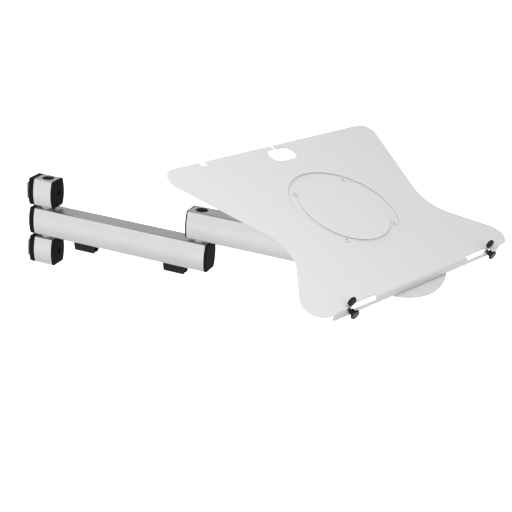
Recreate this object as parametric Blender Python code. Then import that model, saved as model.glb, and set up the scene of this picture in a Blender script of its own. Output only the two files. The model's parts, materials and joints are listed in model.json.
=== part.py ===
# Laptop arm for a slotted wall rail.
# Two blocks, one above the other, hold a vertical shoulder pin. The lower arm turns between
# them, the upper arm turns on the lower arm's free end, and a head at the tip carries a
# waisted sheet metal tray that swivels and tilts. The tray has two sliding stops behind a
# bent lip, each locked by a thumb knob, and a round platform that swings out from under it.
# Metres, +Z up, +X from the wall along the arms. The origin is the middle of the lower rail
# plate's back face. The arms stand straight out and the tray is turned and tilted at rest.

import math

import bmesh
import bpy
from mathutils import Matrix, Vector

# Fits
CLEAR = 0.0003            # between pieces that seat or run on each other
OVERLAP = 0.0006          # how far united shapes reach into each other

# Flats that stand in for round faces
SIDES = 20
PIN_SIDES = 16
SMALL_SIDES = 12
RING_SIDES = 48
PLATFORM_SIDES = 72

# Barrel section of the extruded arms and blocks
ARM_HEIGHT = 0.0421
ARM_WIDTH = 0.0350
ARM_FLAT = 0.0272         # width between the corners of the top before they are rounded
ARM_WALL = 0.0030
TOP_RADIUS = 0.0016
BOTTOM_RADIUS = 0.0040

# Stack at each pivot
WASHER_THICK = 0.0031
WASHER_RADIUS = 0.0100
PIN_RADIUS = 0.0060
PIN_HEAD_RADIUS = 0.0080
PIN_HEAD_THICK = 0.0030
NUT_THICK = 0.0040
SLEEVE_RADIUS = 0.0085
PLUG_THICK = 0.0024

# Rail blocks
RAIL_PLATE_THICK = 0.0034
RAIL_PLATE_WIDTH = 0.0260
RAIL_PLATE_HEIGHT = 0.0252
RAIL_STUD_RADIUS = 0.0040
RAIL_STUD_LENGTH = 0.0070
BACK_CAP_LENGTH = 0.00995
BACK_CAP_FLANGE = 0.0090
BACK_CAP_STEP = 0.0042
BLOCK_REAR = 0.01535
BLOCK_FRONT = 0.0142
BLOCK_CAP_THICK = 0.0032
LOCK_SCREW_RADIUS = 0.0040
LOCK_SCREW_LENGTH = 0.0076
LOCK_SOCKET_RADIUS = 0.0023

# Arms
LOWER_ARM_PITCH = 0.2500
LOWER_ARM_REAR = 0.0154
LOWER_ARM_FRONT = 0.0138
LOWER_REAR_CAP = 0.0096
LOWER_FRONT_CAP = 0.0040
UPPER_ARM_PITCH = 0.2053
UPPER_ARM_REAR = 0.0155
UPPER_ARM_FRONT = 0.0150
UPPER_REAR_CAP = 0.0023
UPPER_FRONT_CAP = 0.0040
SPIGOT = 0.0042

# Cable clips under the lower arm
CLIP_PLACES = (0.0658, 0.2133)
CLIP_LENGTH = 0.0330
CLIP_WIDTH = 0.0150
CLIP_HEIGHT = 0.0135
CLIP_WALL = 0.0019
CLIP_SLIT = 0.0040
CLIP_TAPER = 0.13
CLIP_PEG_RADIUS = 0.0022
CLIP_PEG_PITCH = 0.0180

# Swivel and tilt head
HEAD_WASHER_THICK = 0.0020
HEAD_WASHER_RADIUS = 0.0165
HEAD_BASE_THICK = 0.0060
HEAD_BASE_FRONT = 0.0170
HEAD_BASE_REAR = 0.0195
HEAD_BASE_LEDGE = 0.0004
HEAD_PIN_HEAD_THICK = 0.0025
HEAD_PAN = math.radians(-22.53)
TRAY_TILT = math.radians(19.64)
TRAY_RISE = 0.0240        # tray's top above the tilt axle
TILT_HEIGHT = 0.02185     # tilt axle above the upper arm
TILT_SETBACK = 0.00807    # tilt axle behind the swivel axis
KNUCKLE_RADIUS = 0.0090
KNUCKLE_WIDTH = 0.0240
AXLE_RADIUS = 0.0040
AXLE_HEAD_RADIUS = 0.0070
AXLE_HEAD_THICK = 0.0040
FRICTION_WASHER_THICK = 0.0024
LUG_THICK = 0.0050
VESA_PITCH = 0.1000
BRACKET_MARGIN = 0.0075    # plate beyond the screws
BRACKET_THICK = 0.0030
BRACKET_CORNER = 0.0080

# Tray
SHEET = 0.0020
TRAY_HALF_DEPTH = 0.1480
REAR_HALF_WIDTH = 0.2177  # side lines meet the straight edges here, before the corners
FRONT_HALF_WIDTH = 0.2336
WAIST_HALF_WIDTH = 0.1372
WAIST_FORWARD = 0.0384
REAR_CORNER = 0.0182
FRONT_CORNER = 0.0224
WAIST_RADIUS = 0.0600
RING_INNER = 0.0640
RING_OUTER = 0.0800
RING_DEPTH = 0.0015
RING_SLOPE = 0.0012
TRAY_SCREW_RADIUS = 0.0020
TRAY_SCREW_HEAD = 0.0040
TRAY_SCREW_LENGTH = 0.0072
CABLE_HOLE_LENGTH = 0.0530
CABLE_HOLE_WIDTH = 0.0287
CABLE_HOLE_FROM_EDGE = 0.0216
CABLE_SLIT = 0.0050
EDGE_NOTCH_PLACE = -0.1330
EDGE_NOTCH_WIDTH = 0.0140
EDGE_NOTCH_DEPTH = 0.0090
LIP_HEIGHT = 0.0115
LIP_END_MARGIN = 0.0586   # from the lip's end out to where the side line meets the front
LIP_BEND = 0.0030
LIP_CORNER = 0.0030
LIP_STEP = 0.0003         # flat edge beside the lip stands this far behind its face

# Stops and thumb knobs
SLOT_LENGTH = 0.0575
SLOT_END_MARGIN = 0.0205  # from the slot's outer end to the lip's end
STOP_SLOT_BACK = 0.0055   # how far the slot reaches into the tray's top
LIP_STRIP = 0.0057        # height of the strip left below each slot
LEFT_STOP_INSET = 0.0075  # stop's middle from the slot's outer end, at rest
RIGHT_STOP_INSET = 0.0055
KNOB_DROP = 0.0039        # knob axis below the tray's top
STEM_WIDTH = 0.0076
STEM_THICK = 0.0020
STEM_RISE = 0.0098
STEM_DROP = 0.0060
STEM_BOSS = 0.0008
PAD_WIDTH = 0.0128
PAD_HEIGHT = 0.0126
PAD_THICK = 0.0044
PAD_LIFT = 0.0012
SHANK_RADIUS = 0.0015
KNOB_NECK_RADIUS = 0.0039
KNOB_NECK_LENGTH = 0.0057
KNOB_RADIUS = 0.0065
KNOB_THICK = 0.0032
KNOB_FLUTES = 10
KNOB_FLUTE_DEPTH = 0.0005

# Round platform under the tray
PLATFORM_RADIUS = 0.0975
PLATFORM_FORWARD = 0.0680
PLATFORM_DROP = 0.0126    # platform's top below the tray's top
PLATFORM_PIVOT = (0.0600, 0.1180)
PLATFORM_THICK = 0.0020
NECK_ROOM = 0.0180        # radius kept free round the bracket's knuckle
BAR_WIDTH = 0.0240
BAR_THICK = 0.0030
BAR_OVERRUN = 0.0300      # how far the bar runs past the platform's middle
POST_RADIUS = 0.0070
POST_FLANGE = 0.0130
POST_PIN_RADIUS = 0.0040
RIVET_RADIUS = 0.0020
RIVET_HEAD_RADIUS = 0.0035
RIVET_HEAD_THICK = 0.0009
RIVET_PITCH = 0.0500

STACK_PITCH = ARM_HEIGHT + WASHER_THICK + 2 * CLEAR
SHOULDER_X = RAIL_PLATE_THICK + CLEAR + BACK_CAP_LENGTH + BLOCK_REAR
BORE = PIN_RADIUS + CLEAR
WIDE_BORE = SLEEVE_RADIUS + CLEAR
HALF = ARM_HEIGHT / 2
PLUG_SEAT = PLUG_THICK + CLEAR
BRACKET_PLATE = VESA_PITCH + 2 * BRACKET_MARGIN
LIP_HALF_LENGTH = FRONT_HALF_WIDTH - LIP_END_MARGIN
STOP_SLOT_OUTER = LIP_HALF_LENGTH - SLOT_END_MARGIN
STOP_SLOT_INNER = STOP_SLOT_OUTER - SLOT_LENGTH


def clear_scene():
    for obj in list(bpy.data.objects):
        bpy.data.objects.remove(obj, do_unlink=True)


def look(name, color, metallic, roughness):
    mat = bpy.data.materials.new(name)
    mat.use_nodes = True
    shader = mat.node_tree.nodes["Principled BSDF"]
    shader.inputs["Base Color"].default_value = (*color, 1.0)
    shader.inputs["Metallic"].default_value = metallic
    shader.inputs["Roughness"].default_value = roughness
    mat.diffuse_color = (*color, 1.0)
    return mat


def axis_empty(name, parent, location, rotation=(0.0, 0.0, 0.0)):
    empty = bpy.data.objects.new(name, None)
    empty.empty_display_size = 0.02
    empty.parent = parent
    empty.location = location
    empty.rotation_euler = rotation
    bpy.context.scene.collection.objects.link(empty)
    return empty


def link_mesh(name, bm, parent, location=(0.0, 0.0, 0.0)):
    mesh = bpy.data.meshes.new(name)
    bm.to_mesh(mesh)
    bm.free()
    obj = bpy.data.objects.new(name, mesh)
    obj.parent = parent
    obj.location = location
    bpy.context.scene.collection.objects.link(obj)
    return obj


def add_piece(name, bm, mat, parent=None, location=(0.0, 0.0, 0.0), sharp=40.0):
    obj = link_mesh(name, bm, parent, location)
    obj.data.materials.append(mat)
    obj.data.shade_smooth()
    obj.data.set_sharp_from_angle(angle=math.radians(sharp))
    return obj


def combine(piece, bm, operation="DIFFERENCE"):
    """Cuts a shape from a piece, or joins it on, in the piece's own coordinates."""
    count = len(piece.modifiers)
    tool = link_mesh(f"{piece.name}_tool_{count}", bm, piece.parent, piece.location)
    tool.hide_render = True
    tool.display_type = "WIRE"
    modifier = piece.modifiers.new(f"{operation.title()} {count}", "BOOLEAN")
    modifier.object = tool
    modifier.operation = operation
    modifier.solver = "EXACT"


def skin(rings, closed=False):
    """Skins rings of equal point counts. Open runs get end faces, closed ones join up."""
    bm = bmesh.new()
    rows = [[bm.verts.new(point) for point in ring] for ring in rings]
    following_rows = rows[1:] + rows[:1] if closed else rows[1:]
    for row, following in zip(rows, following_rows):
        for i in range(len(row)):
            j = (i + 1) % len(row)
            bm.faces.new((row[i], row[j], following[j], following[i]))
    if not closed:
        bm.faces.new(list(reversed(rows[0])))
        bm.faces.new(rows[-1])
    bmesh.ops.recalc_face_normals(bm, faces=bm.faces)
    return bm


def prism_z(outline, low, high):
    return skin([[(x, y, level) for x, y in outline] for level in (low, high)])


def prism_x(outline, low, high):
    return skin([[(level, y, z) for y, z in outline] for level in (low, high)])


def prism_y(outline, low, high):
    return skin([[(x, level, z) for x, z in outline] for level in (low, high)])


def circle(radius, height, sides):
    turns = [math.tau * (i + 0.5) / sides for i in range(sides)]
    return [(radius * math.cos(turn), radius * math.sin(turn), height) for turn in turns]


def turned(profile, sides=SIDES, closed=False):
    """Turns (radius, height) points round Z, with flat ends where the profile is open."""
    return skin([circle(radius, height, sides) for radius, height in profile], closed)


def rod(radius, low, high, sides=SIDES, chamfer=0.0):
    if not chamfer:
        return turned([(radius, low), (radius, high)], sides)
    return turned(
        [
            (radius - chamfer, low),
            (radius, low + chamfer),
            (radius, high - chamfer),
            (radius - chamfer, high),
        ],
        sides,
    )


def ring(inner, outer, low, high, sides=SIDES):
    return turned([(inner, low), (outer, low), (outer, high), (inner, high)], sides, True)


def toward(bm, axis, location=(0.0, 0.0, 0.0)):
    """Turns a shape made round Z so that it lies along another axis, and moves it."""
    turn = Vector((0, 0, 1)).rotation_difference(Vector(axis)).to_matrix().to_4x4()
    bm.transform(Matrix.Translation(location) @ turn)
    return bm


def rounded(corners, steps=6):
    """Rounds each (x, y, radius) corner of a closed outline."""
    outline = []
    for i, (x, y, radius) in enumerate(corners):
        here = Vector((x, y))
        before = (Vector(corners[i - 1][:2]) - here).normalized()
        after = (Vector(corners[(i + 1) % len(corners)][:2]) - here).normalized()
        if radius <= 0.0:
            outline.append((x, y))
            continue
        half_angle = before.angle(after) / 2
        middle = here + (before + after).normalized() * radius / math.sin(half_angle)
        reach = radius / math.tan(half_angle)
        start = here + before * reach - middle
        swing = start.angle_signed(here + after * reach - middle)
        for step in range(steps + 1):
            arm = start.copy()
            arm.rotate(Matrix.Rotation(-swing * step / steps, 2))
            outline.append(tuple(middle + arm))
    return outline


def rounded_box(half_x, half_y, radius, steps=5):
    return rounded(
        [
            (-half_x, -half_y, radius),
            (half_x, -half_y, radius),
            (half_x, half_y, radius),
            (-half_x, half_y, radius),
        ],
        steps,
    )


def box(low, high):
    outline = [(low[0], low[1]), (high[0], low[1]), (high[0], high[1]), (low[0], high[1])]
    return prism_z(outline, low[2], high[2])


def arm_section(inset=0.0, fillet_steps=2, side_steps=5):
    """The barrel section in (y, z): flat top and bottom, bowed sides, rounded corners."""
    half_width = ARM_WIDTH / 2 - inset
    half_height = HALF - inset
    bow = (ARM_WIDTH - ARM_FLAT) / 2
    side_radius = (half_height**2 + bow**2) / (2 * bow)
    side_middle = half_width - side_radius
    arcs = []
    for radius in (BOTTOM_RADIUS, TOP_RADIUS):
        fillet = max(radius - inset, 0.0004)
        rise = half_height - fillet
        across = side_middle + math.sqrt((side_radius - fillet) ** 2 - rise**2)
        start = math.atan2(rise, across - side_middle)
        arcs.append((fillet, rise, across, start))
    bottom, top = arcs
    right = []
    for step in range(fillet_steps + 1):
        turn = math.pi / 2 + (bottom[3] - math.pi / 2) * step / fillet_steps
        right.append(
            (bottom[2] + bottom[0] * math.cos(turn), -bottom[1] - bottom[0] * math.sin(turn))
        )
    for step in range(1, side_steps):
        turn = -bottom[3] + (top[3] + bottom[3]) * step / side_steps
        right.append((side_middle + side_radius * math.cos(turn), side_radius * math.sin(turn)))
    for step in range(fillet_steps + 1):
        turn = top[3] + (math.pi / 2 - top[3]) * step / fillet_steps
        right.append((top[2] + top[0] * math.cos(turn), top[1] + top[0] * math.sin(turn)))
    return right + [(-y, z) for y, z in reversed(right)]


def extrusion(low, high):
    """A length of hollow arm section, open at both ends."""
    stations = ((low, 0.0), (high, 0.0), (high, ARM_WALL), (low, ARM_WALL))
    return skin(
        [[(along, y, z) for y, z in arm_section(inset)] for along, inset in stations], True
    )


def end_cap(end, direction, stations):
    """A moulded cap on an extrusion's end, through (distance from the end, inset) stations."""
    inner = ARM_WALL + CLEAR
    stations = [(-SPIGOT, inner + 0.0002), (CLEAR, inner)] + stations
    return skin(
        [
            [(end + direction * distance, y, z) for y, z in arm_section(inset)]
            for distance, inset in stations
        ]
    )


def domed_stations(thick, edge):
    return [
        (CLEAR, 0.0),
        (thick - edge, 0.0),
        (thick - edge * 0.35, edge * 0.5),
        (thick, edge * 2.0),
    ]


def pivot_pin(low, high, head_radius=PIN_HEAD_RADIUS, head_thick=PIN_HEAD_THICK):
    """A headed pin; its head lies just below the height called high."""
    chamfer = 0.0004
    return turned(
        [
            (PIN_RADIUS - chamfer, low),
            (PIN_RADIUS, low + chamfer),
            (PIN_RADIUS, high - head_thick),
            (head_radius, high - head_thick),
            (head_radius, high - chamfer),
            (head_radius - chamfer, high),
        ],
        PIN_SIDES,
    )


def pin_nut(low):
    return ring(BORE, PIN_HEAD_RADIUS, low, low + NUT_THICK, PIN_SIDES)


def bore(piece, x, low, high, radius):
    combine(piece, toward(rod(radius, low, high, PIN_SIDES), (0, 0, 1), (x, 0, 0)))


def plug(low, side):
    """A press-in cover for a pivot bore. Its outer face is flush, with an eased edge."""
    edge = 0.0005
    profile = [
        (SLEEVE_RADIUS, 0.0),
        (SLEEVE_RADIUS, PLUG_THICK - edge),
        (SLEEVE_RADIUS - edge, PLUG_THICK),
    ]
    if side < 0:
        profile = [(radius, -height) for radius, height in reversed(profile)]
    return toward(turned(profile), (0, 0, 1), (0, 0, low))


def build_block(tag, level, outer):
    """One rail block. outer is +1 where its plugged face is on top, -1 underneath."""
    silver = looks["arm_silver"]
    black = looks["cap_black"]
    place = axis_empty(f"{tag}_block_centre", None, (SHOULDER_X, 0.0, level))
    block = add_piece(f"{tag}_block", extrusion(-BLOCK_REAR, BLOCK_FRONT), silver, place)
    margin = ARM_WALL + 0.001
    faces = {outer: WIDE_BORE, -outer: BORE}
    for side, radius in faces.items():
        low, high = sorted((side * (HALF - margin), side * (HALF + margin)))
        bore(block, 0.0, low, high, radius)

    rear = add_piece(
        f"{tag}_block_back_cap",
        end_cap(
            -BLOCK_REAR, -1,
            [
                (CLEAR, 0.0),
                (BACK_CAP_FLANGE - 0.0010, 0.0),
                (BACK_CAP_FLANGE, 0.0008),
                (BACK_CAP_FLANGE, BACK_CAP_STEP),
                (BACK_CAP_LENGTH - 0.0006, BACK_CAP_STEP),
                (BACK_CAP_LENGTH, BACK_CAP_STEP + 0.0006),
            ],
        ),
        black, place,
    )
    back_face = -BLOCK_REAR - BACK_CAP_LENGTH
    hole_end = back_face - CLEAR + RAIL_STUD_LENGTH + CLEAR
    stud_hole = rod(RAIL_STUD_RADIUS + CLEAR, 0.0, hole_end - back_face + 0.002, SIDES)
    combine(rear, toward(stud_hole, (1, 0, 0), (back_face - 0.002, 0, 0)))

    front = add_piece(
        f"{tag}_block_front_cap",
        end_cap(BLOCK_FRONT, 1, domed_stations(BLOCK_CAP_THICK, 0.0009)),
        black, place,
    )
    access = rod(LOCK_SCREW_RADIUS + CLEAR, -0.002, SPIGOT + BLOCK_CAP_THICK + 0.002, SIDES)
    combine(front, toward(access, (1, 0, 0), (BLOCK_FRONT - SPIGOT, 0, 0)))

    screw = toward(
        rod(LOCK_SCREW_RADIUS, 0.0, LOCK_SCREW_LENGTH, SIDES, 0.0005),
        (1, 0, 0), (PIN_RADIUS + CLEAR, 0, 0),
    )
    lock = add_piece(f"{tag}_lock_screw", screw, looks["screw_steel"], place)
    socket = toward(
        rod(LOCK_SOCKET_RADIUS, -0.003, 0.001, 6),
        (1, 0, 0), (PIN_RADIUS + CLEAR + LOCK_SCREW_LENGTH, 0, 0),
    )
    combine(lock, socket)

    outline = rounded_box(RAIL_PLATE_WIDTH / 2, RAIL_PLATE_HEIGHT / 2, 0.0022, 4)
    plate = add_piece(
        f"{tag}_rail_plate",
        prism_x(outline, back_face - CLEAR - RAIL_PLATE_THICK, back_face - CLEAR),
        looks["bright_steel"], place,
    )
    stud = rod(RAIL_STUD_RADIUS, -OVERLAP, RAIL_STUD_LENGTH, SIDES, 0.0004)
    combine(plate, toward(stud, (1, 0, 0), (back_face - CLEAR, 0, 0)), "UNION")


def build_shoulder():
    top = STACK_PITCH * 2 + HALF
    column = axis_empty("shoulder_column", None, (SHOULDER_X, 0.0, 0.0))
    bright = looks["bright_steel"]
    black = looks["cap_black"]
    pin_low = -HALF + PLUG_SEAT
    pin = pivot_pin(pin_low, top - PLUG_SEAT)
    add_piece("shoulder_pin", pin, bright, column)
    add_piece("shoulder_nut", pin_nut(pin_low), bright, column)
    add_piece("shoulder_top_plug", plug(top - PLUG_THICK, 1), black, column)
    add_piece("shoulder_bottom_plug", plug(-HALF + PLUG_THICK, -1), black, column)
    for tag, level in (("lower", HALF), ("upper", STACK_PITCH + HALF)):
        low = level + CLEAR
        washer = ring(BORE, WASHER_RADIUS, low, low + WASHER_THICK)
        add_piece(f"{tag}_shoulder_washer", washer, looks["bush_white"], column)


def build_clip(tag, place, arm):
    """A cable clip: a channel along the arm, slit below, pegged into the arm's underside."""
    half = CLIP_WIDTH / 2
    top = -HALF - CLEAR
    low = top - CLIP_HEIGHT
    inner = half - CLIP_WALL
    outline = rounded(
        [
            (CLIP_SLIT / 2, low, 0.0),
            (half, low, 0.0030),
            (half, top, 0.0),
            (-half, top, 0.0),
            (-half, low, 0.0030),
            (-CLIP_SLIT / 2, low, 0.0),
            (-CLIP_SLIT / 2, low + CLIP_WALL, 0.0),
            (-inner, low + CLIP_WALL, 0.0014),
            (-inner, top - CLIP_WALL, 0.0014),
            (inner, top - CLIP_WALL, 0.0014),
            (inner, low + CLIP_WALL, 0.0014),
            (CLIP_SLIT / 2, low + CLIP_WALL, 0.0),
        ],
        3,
    )
    bm = prism_x(outline, -CLIP_LENGTH / 2, CLIP_LENGTH / 2)
    for vert in bm.verts:
        vert.co.x *= 1.0 - CLIP_TAPER * (top - vert.co.z) / CLIP_HEIGHT
    clip = add_piece(f"{tag}_cable_clip", bm, looks["clip_black"], arm, (place, 0, 0))
    for side in (-1, 1):
        along = side * CLIP_PEG_PITCH / 2
        peg = rod(CLIP_PEG_RADIUS, top - OVERLAP, top + ARM_WALL + 0.0008, SMALL_SIDES, 0.0004)
        combine(clip, toward(peg, (0, 0, 1), (along, 0, 0)), "UNION")
        hole = rod(CLIP_PEG_RADIUS + CLEAR, -HALF - 0.001, -HALF + ARM_WALL + 0.001, SMALL_SIDES)
        combine(lower_arm, toward(hole, (0, 0, 1), (place + along, 0, 0)))


def build_lower_arm(parent):
    global lower_arm
    silver = looks["arm_silver"]
    black = looks["cap_black"]
    bright = looks["bright_steel"]
    length = LOWER_ARM_PITCH
    margin = ARM_WALL + 0.001
    lower_arm = add_piece(
        "lower_arm", extrusion(-LOWER_ARM_REAR, length + LOWER_ARM_FRONT), silver, parent
    )
    bore(lower_arm, 0.0, -HALF - margin, HALF + margin, WIDE_BORE)
    bore(lower_arm, length, HALF - margin, HALF + margin, BORE)
    bore(lower_arm, length, -HALF - margin, -HALF + margin, WIDE_BORE)
    rear = end_cap(-LOWER_ARM_REAR, -1, domed_stations(LOWER_REAR_CAP, 0.0028))
    add_piece("lower_arm_rear_cap", rear, black, parent)
    front = end_cap(length + LOWER_ARM_FRONT, 1, domed_stations(LOWER_FRONT_CAP, 0.0012))
    add_piece("lower_arm_front_cap", front, black, parent)
    sleeve = ring(BORE, SLEEVE_RADIUS, -HALF, HALF, PIN_SIDES)
    add_piece("shoulder_sleeve", sleeve, looks["bush_white"], parent)
    for tag, place in zip(("rear", "front"), CLIP_PLACES):
        build_clip(tag, place, parent)

    column = axis_empty("elbow_column", parent, (length, 0, 0))
    pin_low = -HALF + PLUG_SEAT
    add_piece("elbow_pin", pivot_pin(pin_low, STACK_PITCH + HALF - PLUG_SEAT), bright, column)
    add_piece("elbow_nut", pin_nut(pin_low), bright, column)
    add_piece("elbow_bottom_plug", plug(-HALF + PLUG_THICK, -1), black, column)
    low = HALF + CLEAR
    washer = ring(BORE, WASHER_RADIUS, low, low + WASHER_THICK)
    add_piece("elbow_washer", washer, looks["bush_white"], column)


def build_upper_arm(parent):
    silver = looks["arm_silver"]
    black = looks["cap_black"]
    bright = looks["bright_steel"]
    length = UPPER_ARM_PITCH
    margin = ARM_WALL + 0.001
    arm = add_piece("upper_arm", extrusion(-UPPER_ARM_REAR, length + UPPER_ARM_FRONT), silver, parent)
    bore(arm, 0.0, -HALF - margin, HALF + margin, WIDE_BORE)
    bore(arm, length, HALF - margin, HALF + margin, BORE)
    bore(arm, length, -HALF - margin, -HALF + margin, WIDE_BORE)
    rear = end_cap(-UPPER_ARM_REAR, -1, domed_stations(UPPER_REAR_CAP, 0.0009))
    add_piece("upper_arm_rear_cap", rear, black, parent)
    front = end_cap(length + UPPER_ARM_FRONT, 1, domed_stations(UPPER_FRONT_CAP, 0.0012))
    add_piece("upper_arm_front_cap", front, black, parent)
    head_under = HALF - PLUG_SEAT - PIN_HEAD_THICK
    sleeve = ring(BORE, SLEEVE_RADIUS, -HALF, head_under - CLEAR, PIN_SIDES)
    add_piece("elbow_sleeve", sleeve, looks["bush_white"], parent)
    add_piece("elbow_top_plug", plug(HALF - PLUG_THICK, 1), black, parent)

    column = axis_empty("head_column", parent, (length, 0, HALF))
    pin_low = -ARM_HEIGHT + PLUG_SEAT
    pin_top = HEAD_WASHER_THICK + HEAD_BASE_THICK + HEAD_PIN_HEAD_THICK + 3 * CLEAR
    pin = pivot_pin(pin_low, pin_top, PIN_HEAD_RADIUS, HEAD_PIN_HEAD_THICK)
    add_piece("head_pin", pin, bright, column)
    add_piece("head_nut", pin_nut(pin_low), bright, column)
    add_piece("head_bottom_plug", plug(-ARM_HEIGHT + PLUG_THICK, -1), black, column)
    washer = ring(BORE, HEAD_WASHER_RADIUS, CLEAR, CLEAR + HEAD_WASHER_THICK)
    add_piece("head_washer", washer, black, column)


def build_head(parent):
    """The swivelling yoke, its two lugs and the tilt axle between them."""
    grey = looks["head_grey"]
    bright = looks["bright_steel"]
    low = HEAD_WASHER_THICK + 2 * CLEAR
    top = low + HEAD_BASE_THICK
    lug_in = KNUCKLE_WIDTH / 2 + FRICTION_WASHER_THICK + 2 * CLEAR
    lug_out = lug_in + LUG_THICK
    base_half = lug_out + HEAD_BASE_LEDGE
    outline = rounded(
        [
            (-HEAD_BASE_REAR, -base_half, 0.004),
            (HEAD_BASE_FRONT, -base_half, 0.012),
            (HEAD_BASE_FRONT, base_half, 0.012),
            (-HEAD_BASE_REAR, base_half, 0.004),
        ]
    )
    yoke = add_piece("head_yoke", prism_z(outline, low, top), grey, parent)
    lug = [(-TILT_SETBACK + KNUCKLE_RADIUS + 0.004, top - OVERLAP)]
    for step in range(13):
        turn = math.pi * step / 12
        lug.append(
            (
                -TILT_SETBACK + KNUCKLE_RADIUS * math.cos(turn),
                TILT_HEIGHT + KNUCKLE_RADIUS * math.sin(turn),
            )
        )
    lug.append((-TILT_SETBACK - KNUCKLE_RADIUS - 0.0015, top - OVERLAP))
    for side in (-1, 1):
        near, far = sorted((side * lug_in, side * lug_out))
        combine(yoke, prism_y(lug, near, far), "UNION")
    combine(yoke, rod(BORE, low - 0.001, top + 0.001, PIN_SIDES))
    cross = rod(AXLE_RADIUS + CLEAR, -lug_out - 0.001, lug_out + 0.001, SIDES)
    combine(yoke, toward(cross, (0, 1, 0), (-TILT_SETBACK, 0, TILT_HEIGHT)))

    spindle = axis_empty("tilt_spindle", parent, (-TILT_SETBACK, 0, TILT_HEIGHT))
    reach = lug_out + CLEAR
    chamfer = 0.0005
    axle = turned(
        [
            (AXLE_HEAD_RADIUS - chamfer, -reach - AXLE_HEAD_THICK),
            (AXLE_HEAD_RADIUS, -reach - AXLE_HEAD_THICK + chamfer),
            (AXLE_HEAD_RADIUS, -reach),
            (AXLE_RADIUS, -reach),
            (AXLE_RADIUS, reach + AXLE_HEAD_THICK),
        ],
        SIDES,
    )
    bolt = add_piece("tilt_axle", toward(axle, (0, 1, 0)), bright, spindle)
    socket = rod(0.0025, -reach - AXLE_HEAD_THICK - 0.001, -reach - 0.0012, 6)
    combine(bolt, toward(socket, (0, 1, 0)))
    nut = rod(AXLE_HEAD_RADIUS, reach, reach + AXLE_HEAD_THICK - CLEAR, 6)
    tilt_nut = add_piece("tilt_nut", toward(nut, (0, 1, 0)), bright, spindle)
    hole = rod(AXLE_RADIUS + CLEAR, reach - 0.001, reach + AXLE_HEAD_THICK + 0.001, SIDES)
    combine(tilt_nut, toward(hole, (0, 1, 0)))
    for tag, side in (("left", -1), ("right", 1)):
        near, far = sorted(
            (side * (KNUCKLE_WIDTH / 2 + CLEAR), side * (lug_in - CLEAR))
        )
        washer = ring(AXLE_RADIUS + CLEAR, KNUCKLE_RADIUS - 0.0005, near, far, SIDES)
        add_piece(
            f"{tag}_friction_washer", toward(washer, (0, 1, 0)), looks["cap_black"], spindle
        )


def under_ring():
    """How far below the tray's top its pressed ring reaches."""
    return RING_DEPTH + SHEET


def build_bracket(parent):
    """The plate under the tray and the knuckle that turns on the tilt axle."""
    top = TRAY_RISE - under_ring() - CLEAR
    low = top - BRACKET_THICK
    half = BRACKET_PLATE / 2
    outline = rounded_box(half, half, BRACKET_CORNER)
    bracket = add_piece("tilt_bracket", prism_z(outline, low, top), looks["head_grey"], parent)
    knuckle = [(KNUCKLE_RADIUS + 0.006, low + OVERLAP), (-KNUCKLE_RADIUS - 0.006, low + OVERLAP)]
    for step in range(13):
        turn = math.pi + math.pi * step / 12
        knuckle.append((KNUCKLE_RADIUS * math.cos(turn), KNUCKLE_RADIUS * math.sin(turn)))
    half_width = KNUCKLE_WIDTH / 2
    combine(bracket, prism_y(knuckle, -half_width, half_width), "UNION")
    cross = rod(AXLE_RADIUS + CLEAR, -half_width - 0.001, half_width + 0.001, SIDES)
    combine(bracket, toward(cross, (0, 1, 0)))
    for x, y in screw_places():
        hole = rod(TRAY_SCREW_RADIUS + CLEAR, low - 0.001, top + 0.001, SMALL_SIDES)
        combine(bracket, toward(hole, (0, 0, 1), (x, y, 0)))


def screw_places():
    half = VESA_PITCH / 2
    return [(x, y) for x in (-half, half) for y in (-half, half)]


def tray_outline():
    """Straight front and back edges, side lines drawn in to a rounded waist."""
    back = -TRAY_HALF_DEPTH
    front = TRAY_HALF_DEPTH - LIP_STEP
    return rounded(
        [
            (back, -REAR_HALF_WIDTH, REAR_CORNER),
            (WAIST_FORWARD, -WAIST_HALF_WIDTH, WAIST_RADIUS),
            (front, -FRONT_HALF_WIDTH, FRONT_CORNER),
            (front, FRONT_HALF_WIDTH, FRONT_CORNER),
            (WAIST_FORWARD, WAIST_HALF_WIDTH, WAIST_RADIUS),
            (back, REAR_HALF_WIDTH, REAR_CORNER),
        ],
        9,
    )


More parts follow.
